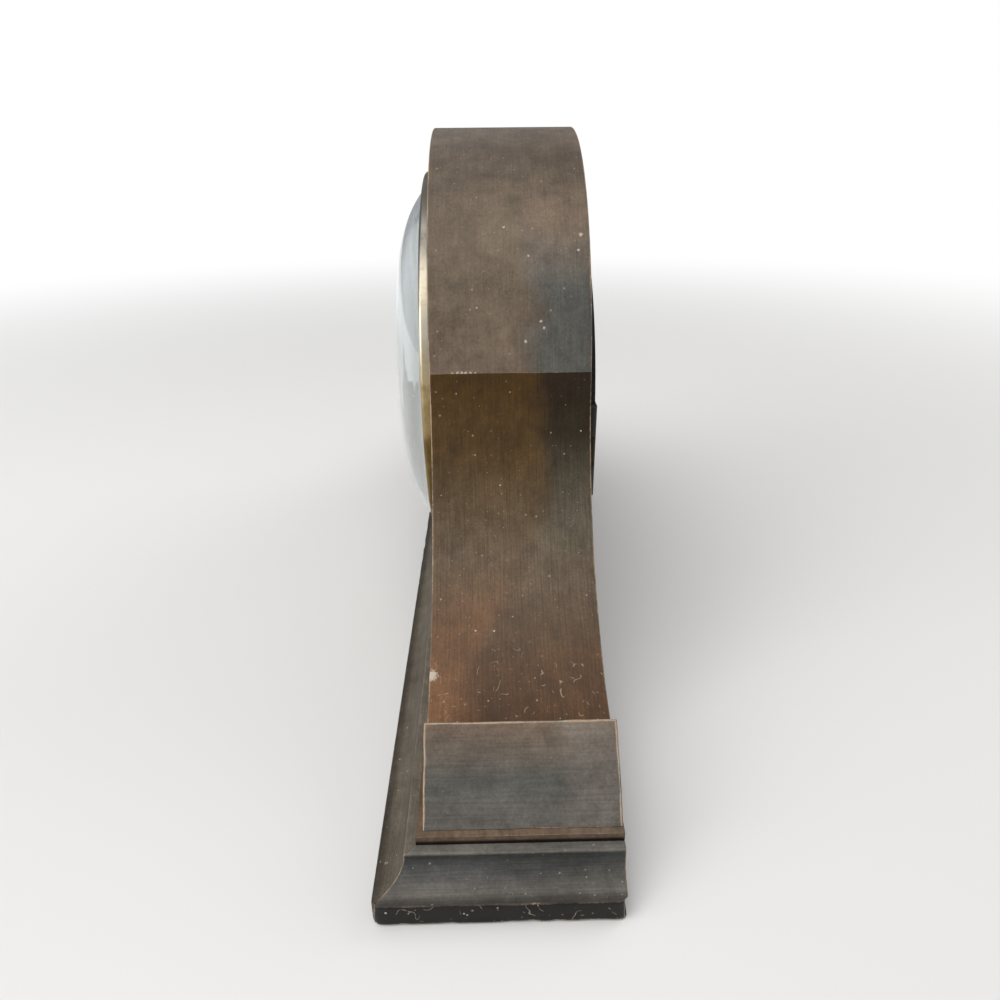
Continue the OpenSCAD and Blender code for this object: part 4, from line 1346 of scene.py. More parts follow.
@dataclass
class Case:
    """The hat-shaped body: bent skins, end blocks and the two boards, in millimetres."""

    paint: Paintbox
    nodes: dict[str, bpy.types.Object]
    y_front: float = -32.9
    y_back: float = 35.1
    arch_r: float = 113.2
    arch_z: float = 127.5
    crease_z: float = 146.5
    sweep_r: float = 128.0
    sweep_end_z: float = 37.4
    skin_t: float = 3.0
    block_in_x: float = 208.0
    ridge_x: float = 212.2
    ridge_z: float = 49.5
    ridge_r: float = 0.35
    ridge_w: float = 0.5
    block_foot_x: float = 236.0
    block_ease: float = 0.5
    base_h: float = 24.0
    edge_r: float = 0.7
    hidden_r: float = 0.2
    step_min: float = 0.3
    step_max: float = 1.4

    def stations(self, first: float, last: float, radius: float) -> Array:
        """Angles from first to last round a circle, close together at both ends."""
        return first + graded((last - first) * radius, self.step_min, self.step_max) / radius

    def crease(self) -> tuple[float, float]:
        """X and Z of the crease between arch and sweep."""
        rise = self.crease_z - self.arch_z
        return math.sqrt(self.arch_r**2 - rise**2), self.crease_z

    def sweep_centre(self) -> tuple[float, float]:
        """Centre of the circle that the right-hand sweep follows.

        Returns:
            X and Z, from the middle of the sweep's two ends and the circle's radius.
        """
        x, z = self.crease()
        run = np.array([self.block_in_x - x, self.sweep_end_z - z])
        length = float(np.linalg.norm(run))
        back = math.sqrt(self.sweep_r**2 - length**2 / 4)
        return (
            (self.block_in_x + x) / 2 - run[1] / length * back,
            (self.sweep_end_z + z) / 2 + run[0] / length * back,
        )

    def section(self) -> Array:
        """Section of a bent skin: (distance out from its face, depth in the clock)."""
        return eased_outline(
            [
                (-self.skin_t, self.y_front, self.hidden_r),
                (0.0, self.y_front, self.edge_r),
                (0.0, self.y_back, self.edge_r),
                (-self.skin_t, self.y_back, self.hidden_r),
            ]
        )

    def bent(
        self, centre: tuple[float, float], radius: float, angles: Array, side: float
    ) -> Shell:
        """A skin bent round a circle: the section carried along an arc.

        Args:
            centre: X and Z of the circle's centre.
            radius: radius of the skin's visible face.
            angles: the stations, in radians from +X towards +Z.
            side: 1 where the visible face looks away from the centre, -1 towards it.

        Returns:
            The shell, with its front, back and end edges marked as worn.
        """
        ray = np.stack([np.cos(angles), np.zeros_like(angles), np.sin(angles)], axis=1)
        origins = np.array([centre[0], 0, centre[1]]) + radius * ray
        ups = np.broadcast_to(np.array([0.0, 1.0, 0.0]), ray.shape)
        section = self.section()
        points = carried(section, origins, ray * side, ups)
        along = np.abs(angles - angles[0]) * radius
        girth = girth_of(section)
        marks = np.stack(np.broadcast_arrays(along[:, None], girth[None, :]), axis=2)
        shell = Shell.grid(points, ring_u=False, ring_v=True, capped=True, uv=marks)
        # The middle of a rounded edge lies 0.3 of its radius inside the sharp corner.
        inset = 0.3 * self.edge_r
        drawn = origins - inset * side * ray
        front = drawn + ups * (self.y_front + inset)
        back = drawn + ups * (self.y_back - inset)
        shell.rubbed([front[::2], front[[-2, -1]]], reach=0.8)
        shell.rubbed([back[::2], back[[-2, -1]]], reach=1.1)
        return shell.rubbed([np.stack([front[k], back[k]]) for k in (0, -1)], reach=0.6)

    def arch(self) -> None:
        """The skin over the arch, from crease to crease."""
        x, z = self.crease()
        first = math.atan2(z - self.arch_z, x)
        angles = self.stations(first, math.pi - first, self.arch_r)
        shell = self.bent((0.0, self.arch_z), self.arch_r, angles, 1.0)
        made = Maker.piece("arch_skin_worn", shell, "case", ("arch_skin",), "stained_wood")
        self.paint.coat(made, Finish.ARCH)

    def wings(self) -> None:
        """The two hollow sweeps."""
        x, z = self.crease()
        cx, cz = self.sweep_centre()
        first = math.atan2(z - cz, x - cx) % (2 * math.pi)
        last = math.atan2(self.sweep_end_z - cz, self.block_in_x - cx) % (2 * math.pi)
        angles = self.stations(first, last, self.sweep_r)
        for made in Maker.pair("wing_skin", self.bent((cx, cz), self.sweep_r, angles, -1.0)):
            self.paint.coat(made, Finish.SWEEP)

    def end_blocks(self) -> None:
        """The two end blocks with their sharp ridge and sloping face."""
        outline = eased_outline(
            [
                (self.block_in_x, self.base_h, self.hidden_r),
                (self.block_foot_x, self.base_h, self.hidden_r),
                (self.ridge_x, self.ridge_z, self.ridge_r),
                (self.ridge_x - self.ridge_w, self.ridge_z, 0.05),
                (self.block_in_x, self.sweep_end_z, self.hidden_r),
            ]
        )
        right = slab_shell(outline, self.y_front, self.y_back, self.block_ease, Axis.DEPTH)
        depths = (self.y_front + 0.3, self.y_back - 0.5)
        ridge = np.array([[self.ridge_x, y, self.ridge_z] for y in depths])
        foot = np.array([[self.block_foot_x, y, self.base_h] for y in depths])
        sides = [np.stack([ridge[k], foot[k]]) for k in (0, 1)]
        right.rubbed([ridge, foot, *sides], reach=1.1)
        right.dented(depth=0.5, size=5.0, seed=3.0, middle=np.array([216.0, 0.0, 30.0]))
        for made in Maker.pair("end_block", right):
            self.paint.coat(made, Finish.BLOCK)

    def build(self) -> None:
        """Builds and dresses the body."""
        self.arch()
        self.wings()
        self.end_blocks()
        for name in ("front_board", "back_board"):
            board = Maker.eased_copy(self.nodes[name], f"{name}_eased", 0.3, "stained_wood")
            self.paint.coat(board, Finish.BOARD, Finish.EDGE)
        self.paint.coat(self.nodes["corner_blocks"], Finish.INNER_WOOD)


@dataclass
class Base:
    """The base board, its screws and the mitred moulding on three sides, in millimetres."""

    paint: Paintbox
    nodes: dict[str, bpy.types.Object]
    base_x: float = 238.2
    front_y: float = -35.1
    back_y: float = 35.1
    width: float = 14.3
    height: float = 20.4
    plinth_h: float = 9.2
    cove_r: float = 10.0
    lip: float = 0.5
    mitre_gap: float = 0.05
    mitre_reach: float = 16.0
    corner_r: float = 3.2
    upper_corner_r: float = 0.4
    fade_h: float = 5.0

    def section(self) -> Array:
        """The moulding's section: plinth, hollow drawn as a quarter circle, and bead.

        Returns:
            (distance out, height) of each point, counter-clockwise.
        """
        cove_x = self.width - self.lip
        foot = eased_outline(
            [
                (0.0, 0.0, 0.0),
                (self.width, 0.0, 1.3),
                (self.width, self.plinth_h, 0.6),
                (cove_x, self.plinth_h, 0.0),
            ]
        )
        sides = np.arange(len(foot))
        keep = sides <= int(np.argmin(np.linalg.norm(foot - (cove_x, self.plinth_h), axis=1)))
        angles = np.linspace(-math.pi / 2, -math.pi, 22)[1:]
        centre = np.array([cove_x, self.plinth_h + self.cove_r])
        hollow = centre + self.cove_r * np.stack([np.cos(angles), np.sin(angles)], axis=1)
        bead_x = cove_x - self.cove_r
        bead = eased_outline(
            [
                (bead_x, self.plinth_h + self.cove_r, 0.0),
                (bead_x, self.height, 0.55),
                (0.0, self.height, 0.0),
                (0.0, self.plinth_h + self.cove_r, 0.0),
            ]
        )[1:]
        return np.concatenate([foot[keep], hollow, bead])

    def run(self, start: Array, end: Array, start_out: Array, end_out: Array) -> Shell:
        """One length of moulding between two stations, closed by a fan at each end.

        The section's width looks straight out along the run, and turns to the mitre's direction
        over the last stretch.

        Args:
            start: the base board's corner where it starts.
            end: the corner where it ends.
            start_out: direction of the section's width at the start; longer at a mitre.
            end_out: the same at the end.

        Returns:
            The shell, worn along the plinth's edges and the bead.
        """
        length = float(np.linalg.norm(end - start))
        share = (graded(length, 0.5, 2.5) / length)[:, None]
        origins = start + share * (end - start)
        straight = (start_out + end_out) / 2
        straight = straight / np.abs(straight).max()
        weight = np.clip(1 - np.minimum(share, 1 - share) * length / self.mitre_reach, 0, 1)
        outs = straight + weight * np.where(share < 0.5, start_out - straight, end_out - straight)
        section = self.section()
        ups = np.broadcast_to(np.array([0.0, 0.0, 1.0]), origins.shape)
        points = carried(section, origins, outs, ups)
        marks = np.stack(np.broadcast_arrays(share * length, girth_of(section)[None, :]), axis=2)
        shell = Shell.grid(points, ring_u=False, ring_v=True, uv=marks)
        columns = len(section)
        for row in (0, len(origins) - 1):
            hub = len(shell.points)
            inside = origins[row] + 2.0 * outs[row] + 2.0 * ups[row]
            shell.points = np.vstack([shell.points, inside])
            shell.uv = np.vstack([shell.uv, shell.uv[row * columns]])
            ring = np.append(np.arange(columns), 0) + row * columns
            fan = np.stack([ring[:-1], ring[1:], np.full(columns, hub)], axis=1)
            shell.faces += fan.tolist()
        shell.points = self.rounded(shell.points)
        self.wear(shell, start, end, start_out, end_out)
        return shell

    def wear(
        self, shell: Shell, start: Array, end: Array, start_out: Array, end_out: Array
    ) -> None:
        """Marks the plinth's edges and the profile at both ends, and dents the plinth.

        Args:
            shell: the length of moulding, already rounded.
            start: the base board's corner where it starts.
            end: the corner where it ends.
            start_out: direction of the section's width at the start.
            end_out: the same at the end.
        """
        up = np.array([0.0, 0.0, 1.0])
        first, last = start + self.width * start_out, end + self.width * end_out
        corners = [np.stack([foot, foot + self.plinth_h * up]) for foot in (first, last)]
        shell.rubbed([self.rounded(line) for line in corners], reach=1.3)
        # Many points, because rounding moves only the points of a line, not what is between.
        edge = first + np.linspace(0, 1, 80)[:, None] * (last - first)
        top = self.rounded(edge + (self.plinth_h - 0.2) * up)
        foot = self.rounded(edge + 0.4 * up)
        shell.rubbed([top], reach=1.0, most=0.8).rubbed([foot], reach=1.6, most=1.08)
        middle = (start + end) / 2
        heart = np.array([middle[0], middle[1], 6.0])
        shell.dented(depth=0.9, size=4.0, seed=5.0, middle=heart)
        section = self.section()
        seen = section[section[:, 0] > self.width - self.lip - self.cove_r - 0.7]
        for at, out in ((start, start_out), (end, end_out)):
            line = at + seen[:, 0:1] * out + seen[:, 1:2] * up
            mitred = abs(out[0]) == abs(out[1])
            shell.rubbed([line], reach=0.8, most=0.84 if mitred else 1.0)

    def rounded(self, points: Array) -> Array:
        """Rounds the plinth's outer corners in plan, as years of knocks have.

        A point nearer than the radius to both faces of a corner goes back onto the circle that
        touches them. The radius is whole on the plinth and shrinks over the hollow.

        Args:
            points: positions, one row each.

        Returns:
            The moved positions.
        """
        made = points.copy()
        far_x = self.base_x + self.width
        fade = np.clip((made[:, 2] - self.plinth_h) / self.fade_h, 0, 1)
        radius = self.corner_r * (1 - fade) + self.upper_corner_r * fade
        for face_y, inward in ((self.front_y - self.width, 1.0), (self.back_y, -1.0)):
            across = radius - (far_x - np.abs(made[:, 0]))
            along = radius - (made[:, 1] - face_y) * inward
            span = np.hypot(across, along)
            out = (across > 0) & (along > 0) & (span > radius)
            share = np.where(out, radius / np.maximum(span, TINY), 1.0)
            centre_x = np.sign(made[:, 0]) * (far_x - radius)
            centre_y = face_y + inward * radius
            made[:, 0] = np.where(out, centre_x + (made[:, 0] - centre_x) * share, made[:, 0])
            made[:, 1] = np.where(out, centre_y + (made[:, 1] - centre_y) * share, made[:, 1])
        return made

    def mouldings(self) -> None:
        """Front and end mouldings, mitred at the front corners."""
        gap = np.array([self.mitre_gap, 0, 0])
        left = np.array([-self.base_x, self.front_y, 0.0])
        right = np.array([self.base_x, self.front_y, 0.0])
        mitre = np.array([1.0, -1.0, 0])
        front = self.run(left + gap, right - gap, np.array([-1.0, -1.0, 0]), mitre)
        made = Maker.piece(
            "front_moulding_worn", front, "case", ("front_moulding",), "stained_wood", 30
        )
        self.paint.coat(made, Finish.FRONT_MOULDING)
        rear = np.array([self.base_x, self.back_y, 0.0])
        end = self.run(right, rear, mitre, np.array([1.0, 0.0, 0]))
        for made in Maker.pair("end_moulding", end, 30):
            self.paint.coat(made, Finish.MOULDING)

    def build(self) -> None:
        """Builds and dresses the base."""
        self.mouldings()
        board = Maker.eased_copy(self.nodes["base_board"], "base_board_eased", 0.5, "stained_wood")
        self.paint.coat(board, Finish.LEDGE, Finish.EDGE)
        self.paint.coat(self.nodes["base_screws"], Finish.STEEL)


@dataclass
class BezelAndGlass:
    """The hinged ring with its domed glass, in millimetres."""

    paint: Paintbox
    nodes: dict[str, bpy.types.Object]
    y_front: float = -32.9
    dial_z: float = 124.0
    bezel_r: float = 97.0
    bezel_h: float = 5.4
    roll_r: float = 1.5
    lip_r: float = 91.6
    seat_r: float = 93.5
    seat_h: float = 4.0
    glass_seat_h: float = 3.9
    rise: float = 18.0
    bulge: float = 5.0
    glass_t: float = 1.6
    glass_gap: float = 0.02
    rim_h: float = 1.5
    hinge_x: float = -99.1
    hinge_h: float = 2.8
    knuckle_r: float = 1.7
    knuckle_len: float = 8.0
    knuckle_gap: float = 0.1

    def ring(self) -> None:
        """The ring: a rolled outer edge, a shallow step and a lip over the glass."""
        outer, high = self.bezel_r, self.bezel_h
        roll = np.linspace(0, math.pi / 2, 9)
        arc = np.stack([np.cos(roll), np.sin(roll)], axis=1)
        rolled = np.array([outer, high]) - self.roll_r + self.roll_r * arc
        inner = np.array(
            [
                [94.7, high - 0.05],
                [94.5, high - 0.45],
                [94.2, high - 0.5],
                [93.9, high - 0.42],
                [93.2, high - 0.15],
                [92.5, high - 0.2],
                [92.0, high - 0.5],
                [self.lip_r + 0.05, high - 0.9],
                [self.lip_r, self.seat_h],
                [self.seat_r, self.seat_h],
                [self.seat_r, 0.3],
                [outer - 0.2, 0.3],
                [outer, 0.5],
            ]
        )
        profile = np.concatenate([rolled, inner])
        points = revolved(profile, 288, self.y_front, self.dial_z)
        shell = Shell.grid(points, ring_u=True, ring_v=True)
        made = Maker.piece("bezel_ring_rolled", shell, "bezel", ("bezel",), "bezel_metal", 32)
        self.paint.coat(made, Finish.BEZEL)

    def knuckles(self) -> None:
        """The ring's two hinge knuckles and the straps that join them to it."""
        radius = self.knuckle_r
        near_x, far_x = self.hinge_x, self.hinge_x + 2 * radius
        back_y = self.y_front - self.hinge_h
        turn = np.linspace(0, 2 * math.pi, 32, endpoint=False)
        circle = np.stack([near_x + radius * np.cos(turn), back_y + radius * np.sin(turn)], axis=1)
        strap = eased_outline(
            [
                (near_x, back_y - radius, 0.2),
                (far_x, back_y - radius, 0.2),
                (far_x, back_y, 0.2),
                (near_x, back_y, 0.2),
            ]
        )
        parts = []
        for k in (0, 2):
            low = self.dial_z + (k - 1.5) * self.knuckle_len + self.knuckle_gap
            high = low + self.knuckle_len - 2 * self.knuckle_gap
            parts.append(slab_shell(circle, low, high, 0.25, Axis.HEIGHT))
            parts.append(slab_shell(strap, low, high, 0.15, Axis.HEIGHT))
        shell = parts[0].join(*parts[1:])
        made = Maker.piece("bezel_knuckles", shell, "bezel", (), "bezel_metal", 40)
        self.paint.coat(made, Finish.BEZEL)

    def dome(self) -> None:
        """The glass: height seat + rise * (1 - s^bulge) at share s of its radius, with a wall."""
        share = np.sin(np.linspace(0, math.pi / 2, 56))
        height = self.glass_seat_h + self.rise * (1 - share**self.bulge)
        outer = np.stack([(self.lip_r - self.glass_gap) * share, height], axis=1)
        edge = np.array(
            [
                [self.seat_r - 0.2, self.glass_seat_h],
                [self.seat_r - 0.2, self.rim_h],
                [self.lip_r - self.glass_t, self.rim_h],
            ]
        )
        inner = np.stack([(self.lip_r - self.glass_t) * share, height - self.glass_t], axis=1)
        profile = np.concatenate([outer, edge, inner[::-1]])
        points = revolved(profile, 256, self.y_front, self.dial_z)
        shell = Shell.grid(points, ring_u=True, ring_v=False)
        made = Maker.piece("domed_glass", shell, "bezel", ("bezel_glass",), "clear_glass", 30)
        self.paint.coat(made, Finish.GLASS)

    def build(self) -> None:
        """Builds and dresses the bezel."""
        self.ring()
        self.knuckles()
        self.dome()
        for name in ("glass_ring", "bezel_hinge_leaf", "bezel_hinge_pin", "bezel_catch"):
            self.paint.coat(self.nodes[name], Finish.BEZEL)


@dataclass
class DialAndHands:
    """The dial's printing and the two hands, in millimetres."""

    paint: Paintbox
    nodes: dict[str, bpy.types.Object]
    y_face: float = -33.7
    dial_z: float = 124.0
    track_r: float = 77.0
    track_w: float = 4.0
    numeral_r: float = 63.6
    numeral_h: float = 15.5
    print_h: float = 0.04
    winding_drop: float = 44.0
    hand_t: float = 0.8
    stem_r: float = 0.9
    tip_r: float = 0.4
    hour_hand_deg: float = 55.0

    def ring(self, inner: float, outer: float, thick: float) -> Shell:
        """A flat printed ring: a rectangle turned about the dial's axis.

        Args:
            inner: the ring's inner radius.
            outer: its outer radius.
            thick: how far it stands out of the dial.

        Returns:
            The shell.
        """
        profile = np.array([[inner, 0.0], [inner, thick], [outer, thick], [outer, 0.0]])
        points = revolved(profile, 240, self.y_face, self.dial_z)
        return Shell.grid(points, ring_u=True, ring_v=True)

    def bars(self, angles: Array, inner: float, outer: float, wide: float, thick: float) -> Shell:
        """Flat radial bars: a box each, turned about the dial's axis.

        Args:
            angles: where the bars stand, in radians from 12 towards 3.
            inner: the radius where they begin.
            outer: the radius where they end.
            wide: their width.
            thick: how far they stand out of the dial.

        Returns:
            All the bars as one shell.
        """
        corners = ((-1, 0), (1, 0), (1, 1), (-1, 1))
        box = np.array([[x, t, r] for r in (inner, outer) for x, t in corners], float)
        sides = [[k, k + 4, (k + 1) % 4 + 4, (k + 1) % 4] for k in range(4)]
        faces = [[0, 1, 2, 3], [7, 6, 5, 4], *sides]
        parts = []
        for angle in angles:
            across = np.array([math.cos(angle), 0, -math.sin(angle)])
            along = np.array([math.sin(angle), 0, math.cos(angle)])
            points = (
                box[:, 0:1] * wide / 2 * across
                + box[:, 2:3] * along
                + np.array([0, self.y_face, self.dial_z])
                - box[:, 1:2] * np.array([0, thick, 0])
            )
            parts.append(Shell(points, faces, np.zeros((8, 2))))
        return parts[0].join(*parts[1:])

    def track(self) -> None:
        """The minute track: two rings, sixty fine bars and twelve broad ones."""
        minutes = np.radians(np.arange(60) * 6.0)
        hours = np.radians(np.arange(12) * 30.0)
        inner, outer = self.track_r - self.track_w, self.track_r
        shell = self.ring(outer, outer + 0.35, thick=0.05).join(
            self.ring(inner - 0.2, inner + 0.1, thick=0.05),
            self.bars(minutes, inner, outer + 0.1, wide=0.35, thick=0.05),
            self.bars(hours, inner, outer + 0.1, wide=1.3, thick=0.06),
        )
        made = Maker.piece("minute_track", shell, "case", (), "dial_paint", 30)
        self.paint.coat(made, Finish.INK)

    def numerals(self) -> None:
        """Plain upright numbers from 1 to 12, drawn as thin raised print."""
        merged = bmesh.new()
        for hour in range(1, 13):
            curve = bpy.data.curves.new(f"number_{hour}", "FONT")
            curve.body = str(hour)
            curve.size = self.numeral_h * MM
            curve.align_x = "CENTER"
            curve.align_y = "CENTER"
            curve.extrude = self.print_h * MM
            curve.resolution_u = 6
            thing = linked(f"number_{hour}", curve)
            bpy.context.view_layer.update()
            mesh = bpy.data.meshes.new_from_object(
                thing.evaluated_get(bpy.context.evaluated_depsgraph_get())
            )
            angle = math.radians(hour * 30)
            place = Matrix.Translation(
                (
                    self.numeral_r * MM * math.sin(angle),
                    (self.y_face - self.print_h) * MM,
                    (self.dial_z + self.numeral_r * math.cos(angle)) * MM,
                )
            )
            mesh.transform(place @ Matrix.Rotation(math.pi / 2, 4, "X"))
            merged.from_mesh(mesh)
            bpy.data.objects.remove(thing)
            bpy.data.curves.remove(curve)
            bpy.data.meshes.remove(mesh)
        bmesh.ops.remove_doubles(merged, verts=merged.verts, dist=1e-6)
        bmesh.ops.recalc_face_normals(merged, faces=merged.faces)
        mesh = bpy.data.meshes.new("dial_numerals")
        merged.to_mesh(mesh)
        merged.free()
        made = linked("dial_numerals", mesh)
        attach(made, "case")
        self.paint.coat(made, Finish.INK)
        LOG.info("piece dial_numerals: %d faces on case", len(mesh.polygons))

    def grommet(self) -> None:
        """The rolled brass eye that lines the winding hole."""
        profile = np.array(
            [[4.6, 0.0], [4.6, 0.35], [4.9, 0.62], [5.4, 0.7], [5.9, 0.55], [6.3, 0.2], [6.4, 0.0]]
        )
        points = revolved(profile, 72, self.y_face, self.dial_z - self.winding_drop)
        shell = Shell.grid(points, ring_u=True, ring_v=True)
        made = Maker.piece("winding_eye", shell, "case", (), "clock_brass", 50)
        self.paint.coat(made, Finish.BRASS)

    def leaf_width(self, along: Array, length: float, leaf_r: float) -> Array:
        """Half the width of a leaf hand at some distances from its axis.

        The leaf is the outline that a taut band takes round three circles: a small one at a
        fifth of the length, the widest at 0.62 of it, and a fine one at the tip.

        Args:
            along: the distances.
            length: the hand's length.
            leaf_r: the widest circle's radius.

        Returns:
            Half widths; the stem's own where the leaf is narrower than the stem.
        """
        turn = np.linspace(0, math.pi, 60)
        stem, tip = self.stem_r, self.tip_r
        circles = ((0.2 * length, stem), (0.62 * length, leaf_r), (length - tip, tip))
        spots = sorted((at + r * math.cos(a), r * math.sin(a)) for at, r in circles for a in turn)
        hull: list[tuple[float, float]] = []
        for spot in spots:
            while len(hull) > 1:
                (x0, y0), (x1, y1) = hull[-2:]
                if (x1 - x0) * (spot[1] - y0) < (y1 - y0) * (spot[0] - x0):
                    break
                hull.pop()
            hull.append(spot)
        edge = np.array(hull)
        width = np.interp(along, edge[:, 0], edge[:, 1], left=0.0)
        return np.where(along < 0.4 * length, np.maximum(width, stem), width)

    def hand(self, node: str, length: float, leaf_r: float, boss_r: float, hole_r: float) -> None:
        """A leaf hand with a crowned face and a domed ring round its arbor.

        Args:
            node: the CAD hand, which gives the place along Y and the angle.
            length: from the axis to the tip.
            leaf_r: half the leaf's greatest width.
            boss_r: the ring's outer radius.
            hole_r: its bore.
        """
        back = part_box(node)[1][1] / MM
        angle = math.radians(self.hour_hand_deg) if node == "hour_hand" else 0.0
        reach = np.unique(np.concatenate([np.linspace(boss_r - 0.8, length, 90), [length - 0.1]]))
        half = self.leaf_width(reach, length, leaf_r)
        across = np.array([-1.0, -1.0, -0.55, 0.0, 0.55, 1.0, 1.0])
        lift = np.array([0.0, 0.35, 0.86, 1.0, 0.86, 0.35, 0.0]) * self.hand_t
        sides = np.broadcast_arrays(across * half[:, None], back - lift, reach[:, None])
        blade = Shell.grid(np.stack(sides, axis=2), ring_u=False, ring_v=True, capped=True)
        cos, sin = math.cos(angle), math.sin(angle)
        turned = np.array([[cos, 0, -sin], [0, 1, 0], [sin, 0, cos]])
        blade.points = blade.points @ turned + np.array([0, 0, self.dial_z])
        swell = np.linspace(0, math.pi, 9)
        middle, wide = (boss_r + hole_r) / 2, (boss_r - hole_r) / 2
        crown = np.stack(
            [middle - wide * np.cos(swell), self.hand_t * (0.45 + 0.55 * np.sin(swell))], axis=1
        )
        profile = np.concatenate([[[hole_r, 0.0]], crown, [[boss_r, 0.0]]])
        boss = Shell.grid(revolved(profile, 72, back, self.dial_z), ring_u=True, ring_v=True)
        body = self.nodes[node]["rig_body"]
        made = Maker.piece(f"{node}_crowned", boss.join(blade), body, (node,), "blued_steel", 35)
        self.paint.coat(made, Finish.BLUED)

    def build(self) -> None:
        """Builds and dresses the dial and hands."""
        self.track()
        self.numerals()
        self.grommet()
        self.hand("hour_hand", 52.0, 4.2, 5.6, 3.6)
        self.hand("minute_hand", 76.0, 3.0, 4.4, 2.0)
        self.paint.coat(self.nodes["dial_plate"], Finish.DIAL)
        for name in ("dial_screws", "hand_nut"):
            self.paint.coat(self.nodes[name], Finish.BRASS)


@dataclass
class Movement:
    """Everything between and behind the boards, and the back door."""

    paint: Paintbox
    nodes: dict[str, bpy.types.Object]
    steel: tuple[str, ...] = (
        "pillar_nuts",
        "mounting_screws",
        "winding_arbor",
        "ratchet_wheel",
        "click_spring",
        "pallets",
        "crutch",
        "suspension_spring",
        "pendulum_rod",
        "door_hinge_pin",
    )
    blued: tuple[str, ...] = ("mainspring",)
    bronze: tuple[str, ...] = ("door_hinge_leaf", "door_catch")

    def build(self) -> None:
        """Dresses every node that has no finish of its own yet."""
        door = Maker.eased_copy(self.nodes["back_door"], "back_door_eased", 0.5, "black_paint")
        self.paint.coat(door, Finish.DOOR, Finish.DOOR_EDGE)
        done = {m.name for m in self.paint.made.values()}
        for name, node in self.nodes.items():
            slots = [m.name for m in node.data.materials if m]
            if node.hide_render or any(s in done for s in slots):
                continue
            finish = Finish.BRASS
            if name in self.steel:
                finish = Finish.STEEL
            elif name in self.blued:
                finish = Finish.BLUED
            elif name in self.bronze:
                finish = Finish.BRONZE
            self.paint.coat(node, finish)
            LOG.info("finish %s on %s", finish.name, name)


# ---------------------------------------------------------------- studio


@dataclass(frozen=True)
class Lamp:
    """One square soft light: its place, what it faces, its side in metres and its watts."""

    name: str
    at: Point
    aim: Point
    size: float
    watts: float
    colour: Colour

    def build(self) -> None:
        """Adds the light; one that looks straight down takes its side from another axis."""
        data = bpy.data.lights.new(self.name, "AREA")
        data.shape = "SQUARE"
        data.size = self.size
        data.energy = self.watts
        data.color = self.colour
        back = np.array(self.at) - np.array(self.aim)
        back /= np.linalg.norm(back)
        side = np.cross([0.0, 1.0, 0.0] if abs(back[2]) > 0.99 else [0.0, 0.0, 1.0], back)
        side /= np.linalg.norm(side)
        linked(self.name, data).matrix_world = facing(side, np.cross(back, side), back, self.at)


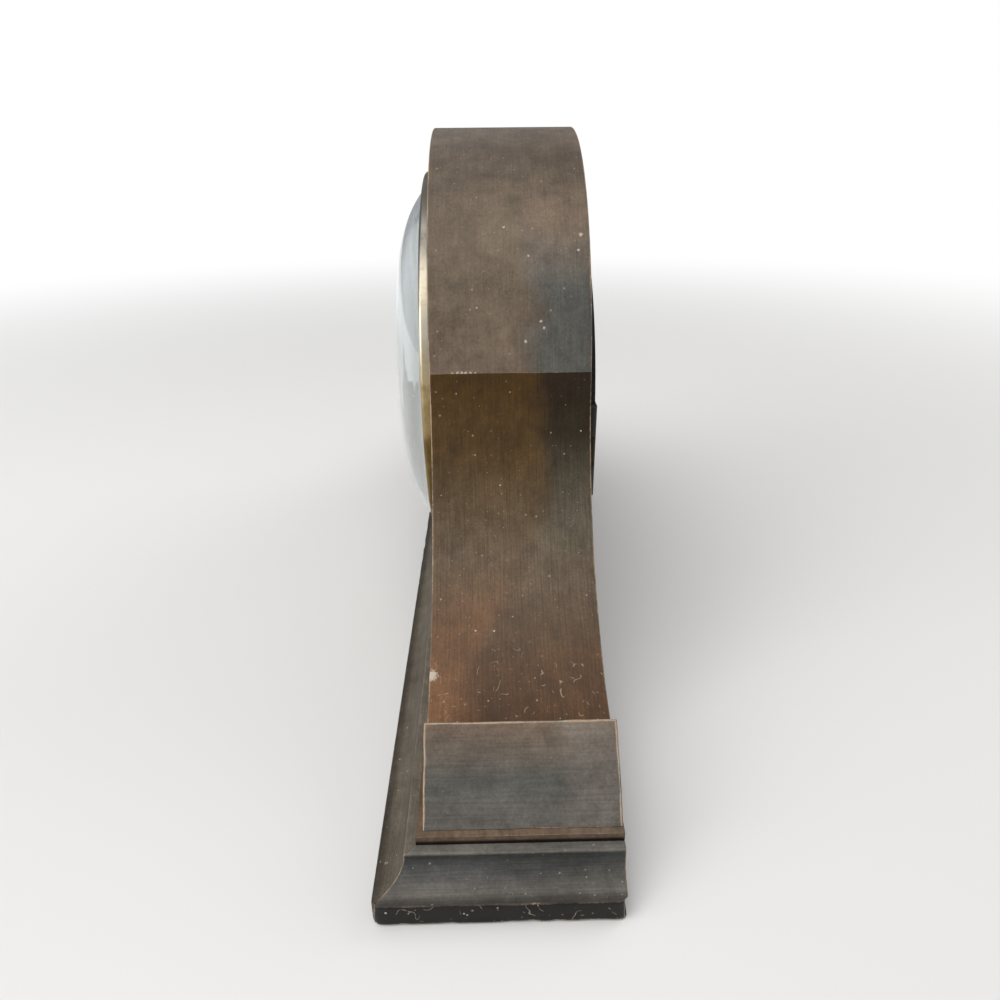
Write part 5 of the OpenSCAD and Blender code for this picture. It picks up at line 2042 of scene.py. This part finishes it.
@dataclass
class Studio:
    """Floor (in millimetres), soft lights and the camera at the photograph's angle."""

    camera_at: Point = (0.4163, -0.00843, 0.2315)
    yaw_deg: float = 0.873
    pitch_deg: float = 25.2
    roll_deg: float = -0.558
    focal_px: float = 748.44
    frame_px: float = 1000.0
    sensor_mm: float = 36.0
    floor_rings: tuple[float, ...] = (0.001, 300.0, 900.0, 2000.0, 6000.0)
    floor_drop: float = 0.05
    floor_colour: Colour = (0.8, 0.79, 0.775)
    fade_m: tuple[float, float] = (0.42, 1.5)
    fill_colour: Colour = (0.93, 0.96, 1.0)
    fill_strength: float = 0.4
    lamps: tuple[Lamp, ...] = (
        Lamp("overhead", (0.5, -0.5, 1.9), (0.05, 0.0, 0.1), 1.6, 22.0, (1.0, 0.98, 0.95)),
        Lamp("side", (0.9, -1.5, 0.9), (0.1, 0.0, 0.12), 1.2, 14.0, (0.96, 0.98, 1.0)),
        Lamp("rear", (-0.8, 1.6, 1.2), (0.0, 0.0, 0.12), 1.4, 11.0, (1.0, 0.98, 0.96)),
    )

    def camera(self) -> None:
        """The camera: it looks along -X, turned a little to +Y, down and about its own axis."""
        yaw, pitch, roll = np.radians([self.yaw_deg, self.pitch_deg, self.roll_deg])
        ahead = np.array(
            [
                -math.cos(pitch) * math.cos(yaw),
                math.cos(pitch) * math.sin(yaw),
                -math.sin(pitch),
            ]
        )
        side = np.cross(ahead, [0, 0, 1])
        side /= np.linalg.norm(side)
        top = np.cross(side, ahead)
        right = math.cos(roll) * side + math.sin(roll) * top
        up = -math.sin(roll) * side + math.cos(roll) * top
        data = bpy.data.cameras.new("camera")
        data.sensor_width = self.sensor_mm
        data.lens = self.focal_px / self.frame_px * self.sensor_mm
        data.clip_start = 0.01
        thing = linked("camera", data)
        thing.matrix_world = facing(right, up, -ahead, self.camera_at)
        bpy.context.scene.camera = thing

    def floor(self) -> None:
        """A pale round floor that fades into the white distance."""
        turn = np.linspace(0, 2 * math.pi, 96, endpoint=False)[:, None]
        radius = np.array([self.floor_rings])
        level = np.full((len(turn), radius.size), -self.floor_drop)
        points = np.stack([radius * np.cos(turn), radius * np.sin(turn), level], axis=2)
        shell = Shell.grid(points, ring_u=True, ring_v=False)
        mesh = bpy.data.meshes.new("floor")
        mesh.from_pydata((shell.points * MM).tolist(), [], [face[::-1] for face in shell.faces])
        thing = linked("floor", mesh)
        mix = Recipe("pale_floor")
        mix.dress(Base_Color=self.floor_colour, Roughness=0.75, Specular_IOR_Level=0.2)
        glow = mix.node("ShaderNodeEmission", None, {"Color": (1.0, 1.0, 1.0), "Strength": 1.0})
        span = mix.flow(mix.node("ShaderNodeTexCoord"), "Object")
        far = mix.flow(
            mix.node("ShaderNodeVectorMath", {"operation": "LENGTH"}, {0: span}), "Value"
        )
        path = mix.node("ShaderNodeLightPath")
        rays = ("Is Camera Ray", "Is Glossy Ray", "Is Transmission Ray")
        seen = mix.most(*(mix.flow(path, ray) for ray in rays))
        share = mix.node("ShaderNodeMixShader", None, {0: mix.step(far, *self.fade_m) * seen})
        mix.tree.links.new(mix.surface.outputs[0], share.inputs[1])
        mix.tree.links.new(glow.outputs[0], share.inputs[2])
        mix.tree.links.new(share.outputs[0], mix.output.inputs["Surface"])
        thing.data.materials.append(mix.material)

    def world(self) -> None:
        """A plain world: white where it is seen, softer where it only lights."""
        world = bpy.data.worlds.new("studio")
        bpy.context.scene.world = world
        world.use_nodes = True
        tree = world.node_tree
        tree.nodes.clear()
        seen, fill = (tree.nodes.new("ShaderNodeBackground") for _ in range(2))
        seen.inputs["Color"].default_value = (1.0, 1.0, 1.0, 1.0)
        seen.inputs["Strength"].default_value = 1.0
        fill.inputs["Color"].default_value = (*self.fill_colour, 1.0)
        fill.inputs["Strength"].default_value = self.fill_strength
        path = tree.nodes.new("ShaderNodeLightPath")
        share = tree.nodes.new("ShaderNodeMixShader")
        end = tree.nodes.new("ShaderNodeOutputWorld")
        tree.links.new(path.outputs["Is Camera Ray"], share.inputs[0])
        tree.links.new(fill.outputs[0], share.inputs[1])
        tree.links.new(seen.outputs[0], share.inputs[2])
        tree.links.new(share.outputs[0], end.inputs["Surface"])

    def build(self) -> None:
        """Builds the studio."""
        self.camera()
        self.floor()
        self.world()
        for lamp in self.lamps:
            lamp.build()
        bpy.context.scene.view_settings.view_transform = "Standard"


def main() -> None:
    logging.basicConfig(level=logging.INFO, format="%(message)s")
    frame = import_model()
    nodes = frame["nodes"]
    Studio().build()
    paint = Paintbox()
    Case(paint, nodes).build()
    Base(paint, nodes).build()
    BezelAndGlass(paint, nodes).build()
    DialAndHands(paint, nodes).build()
    Movement(paint, nodes).build()


if __name__ == "__main__":
    main()
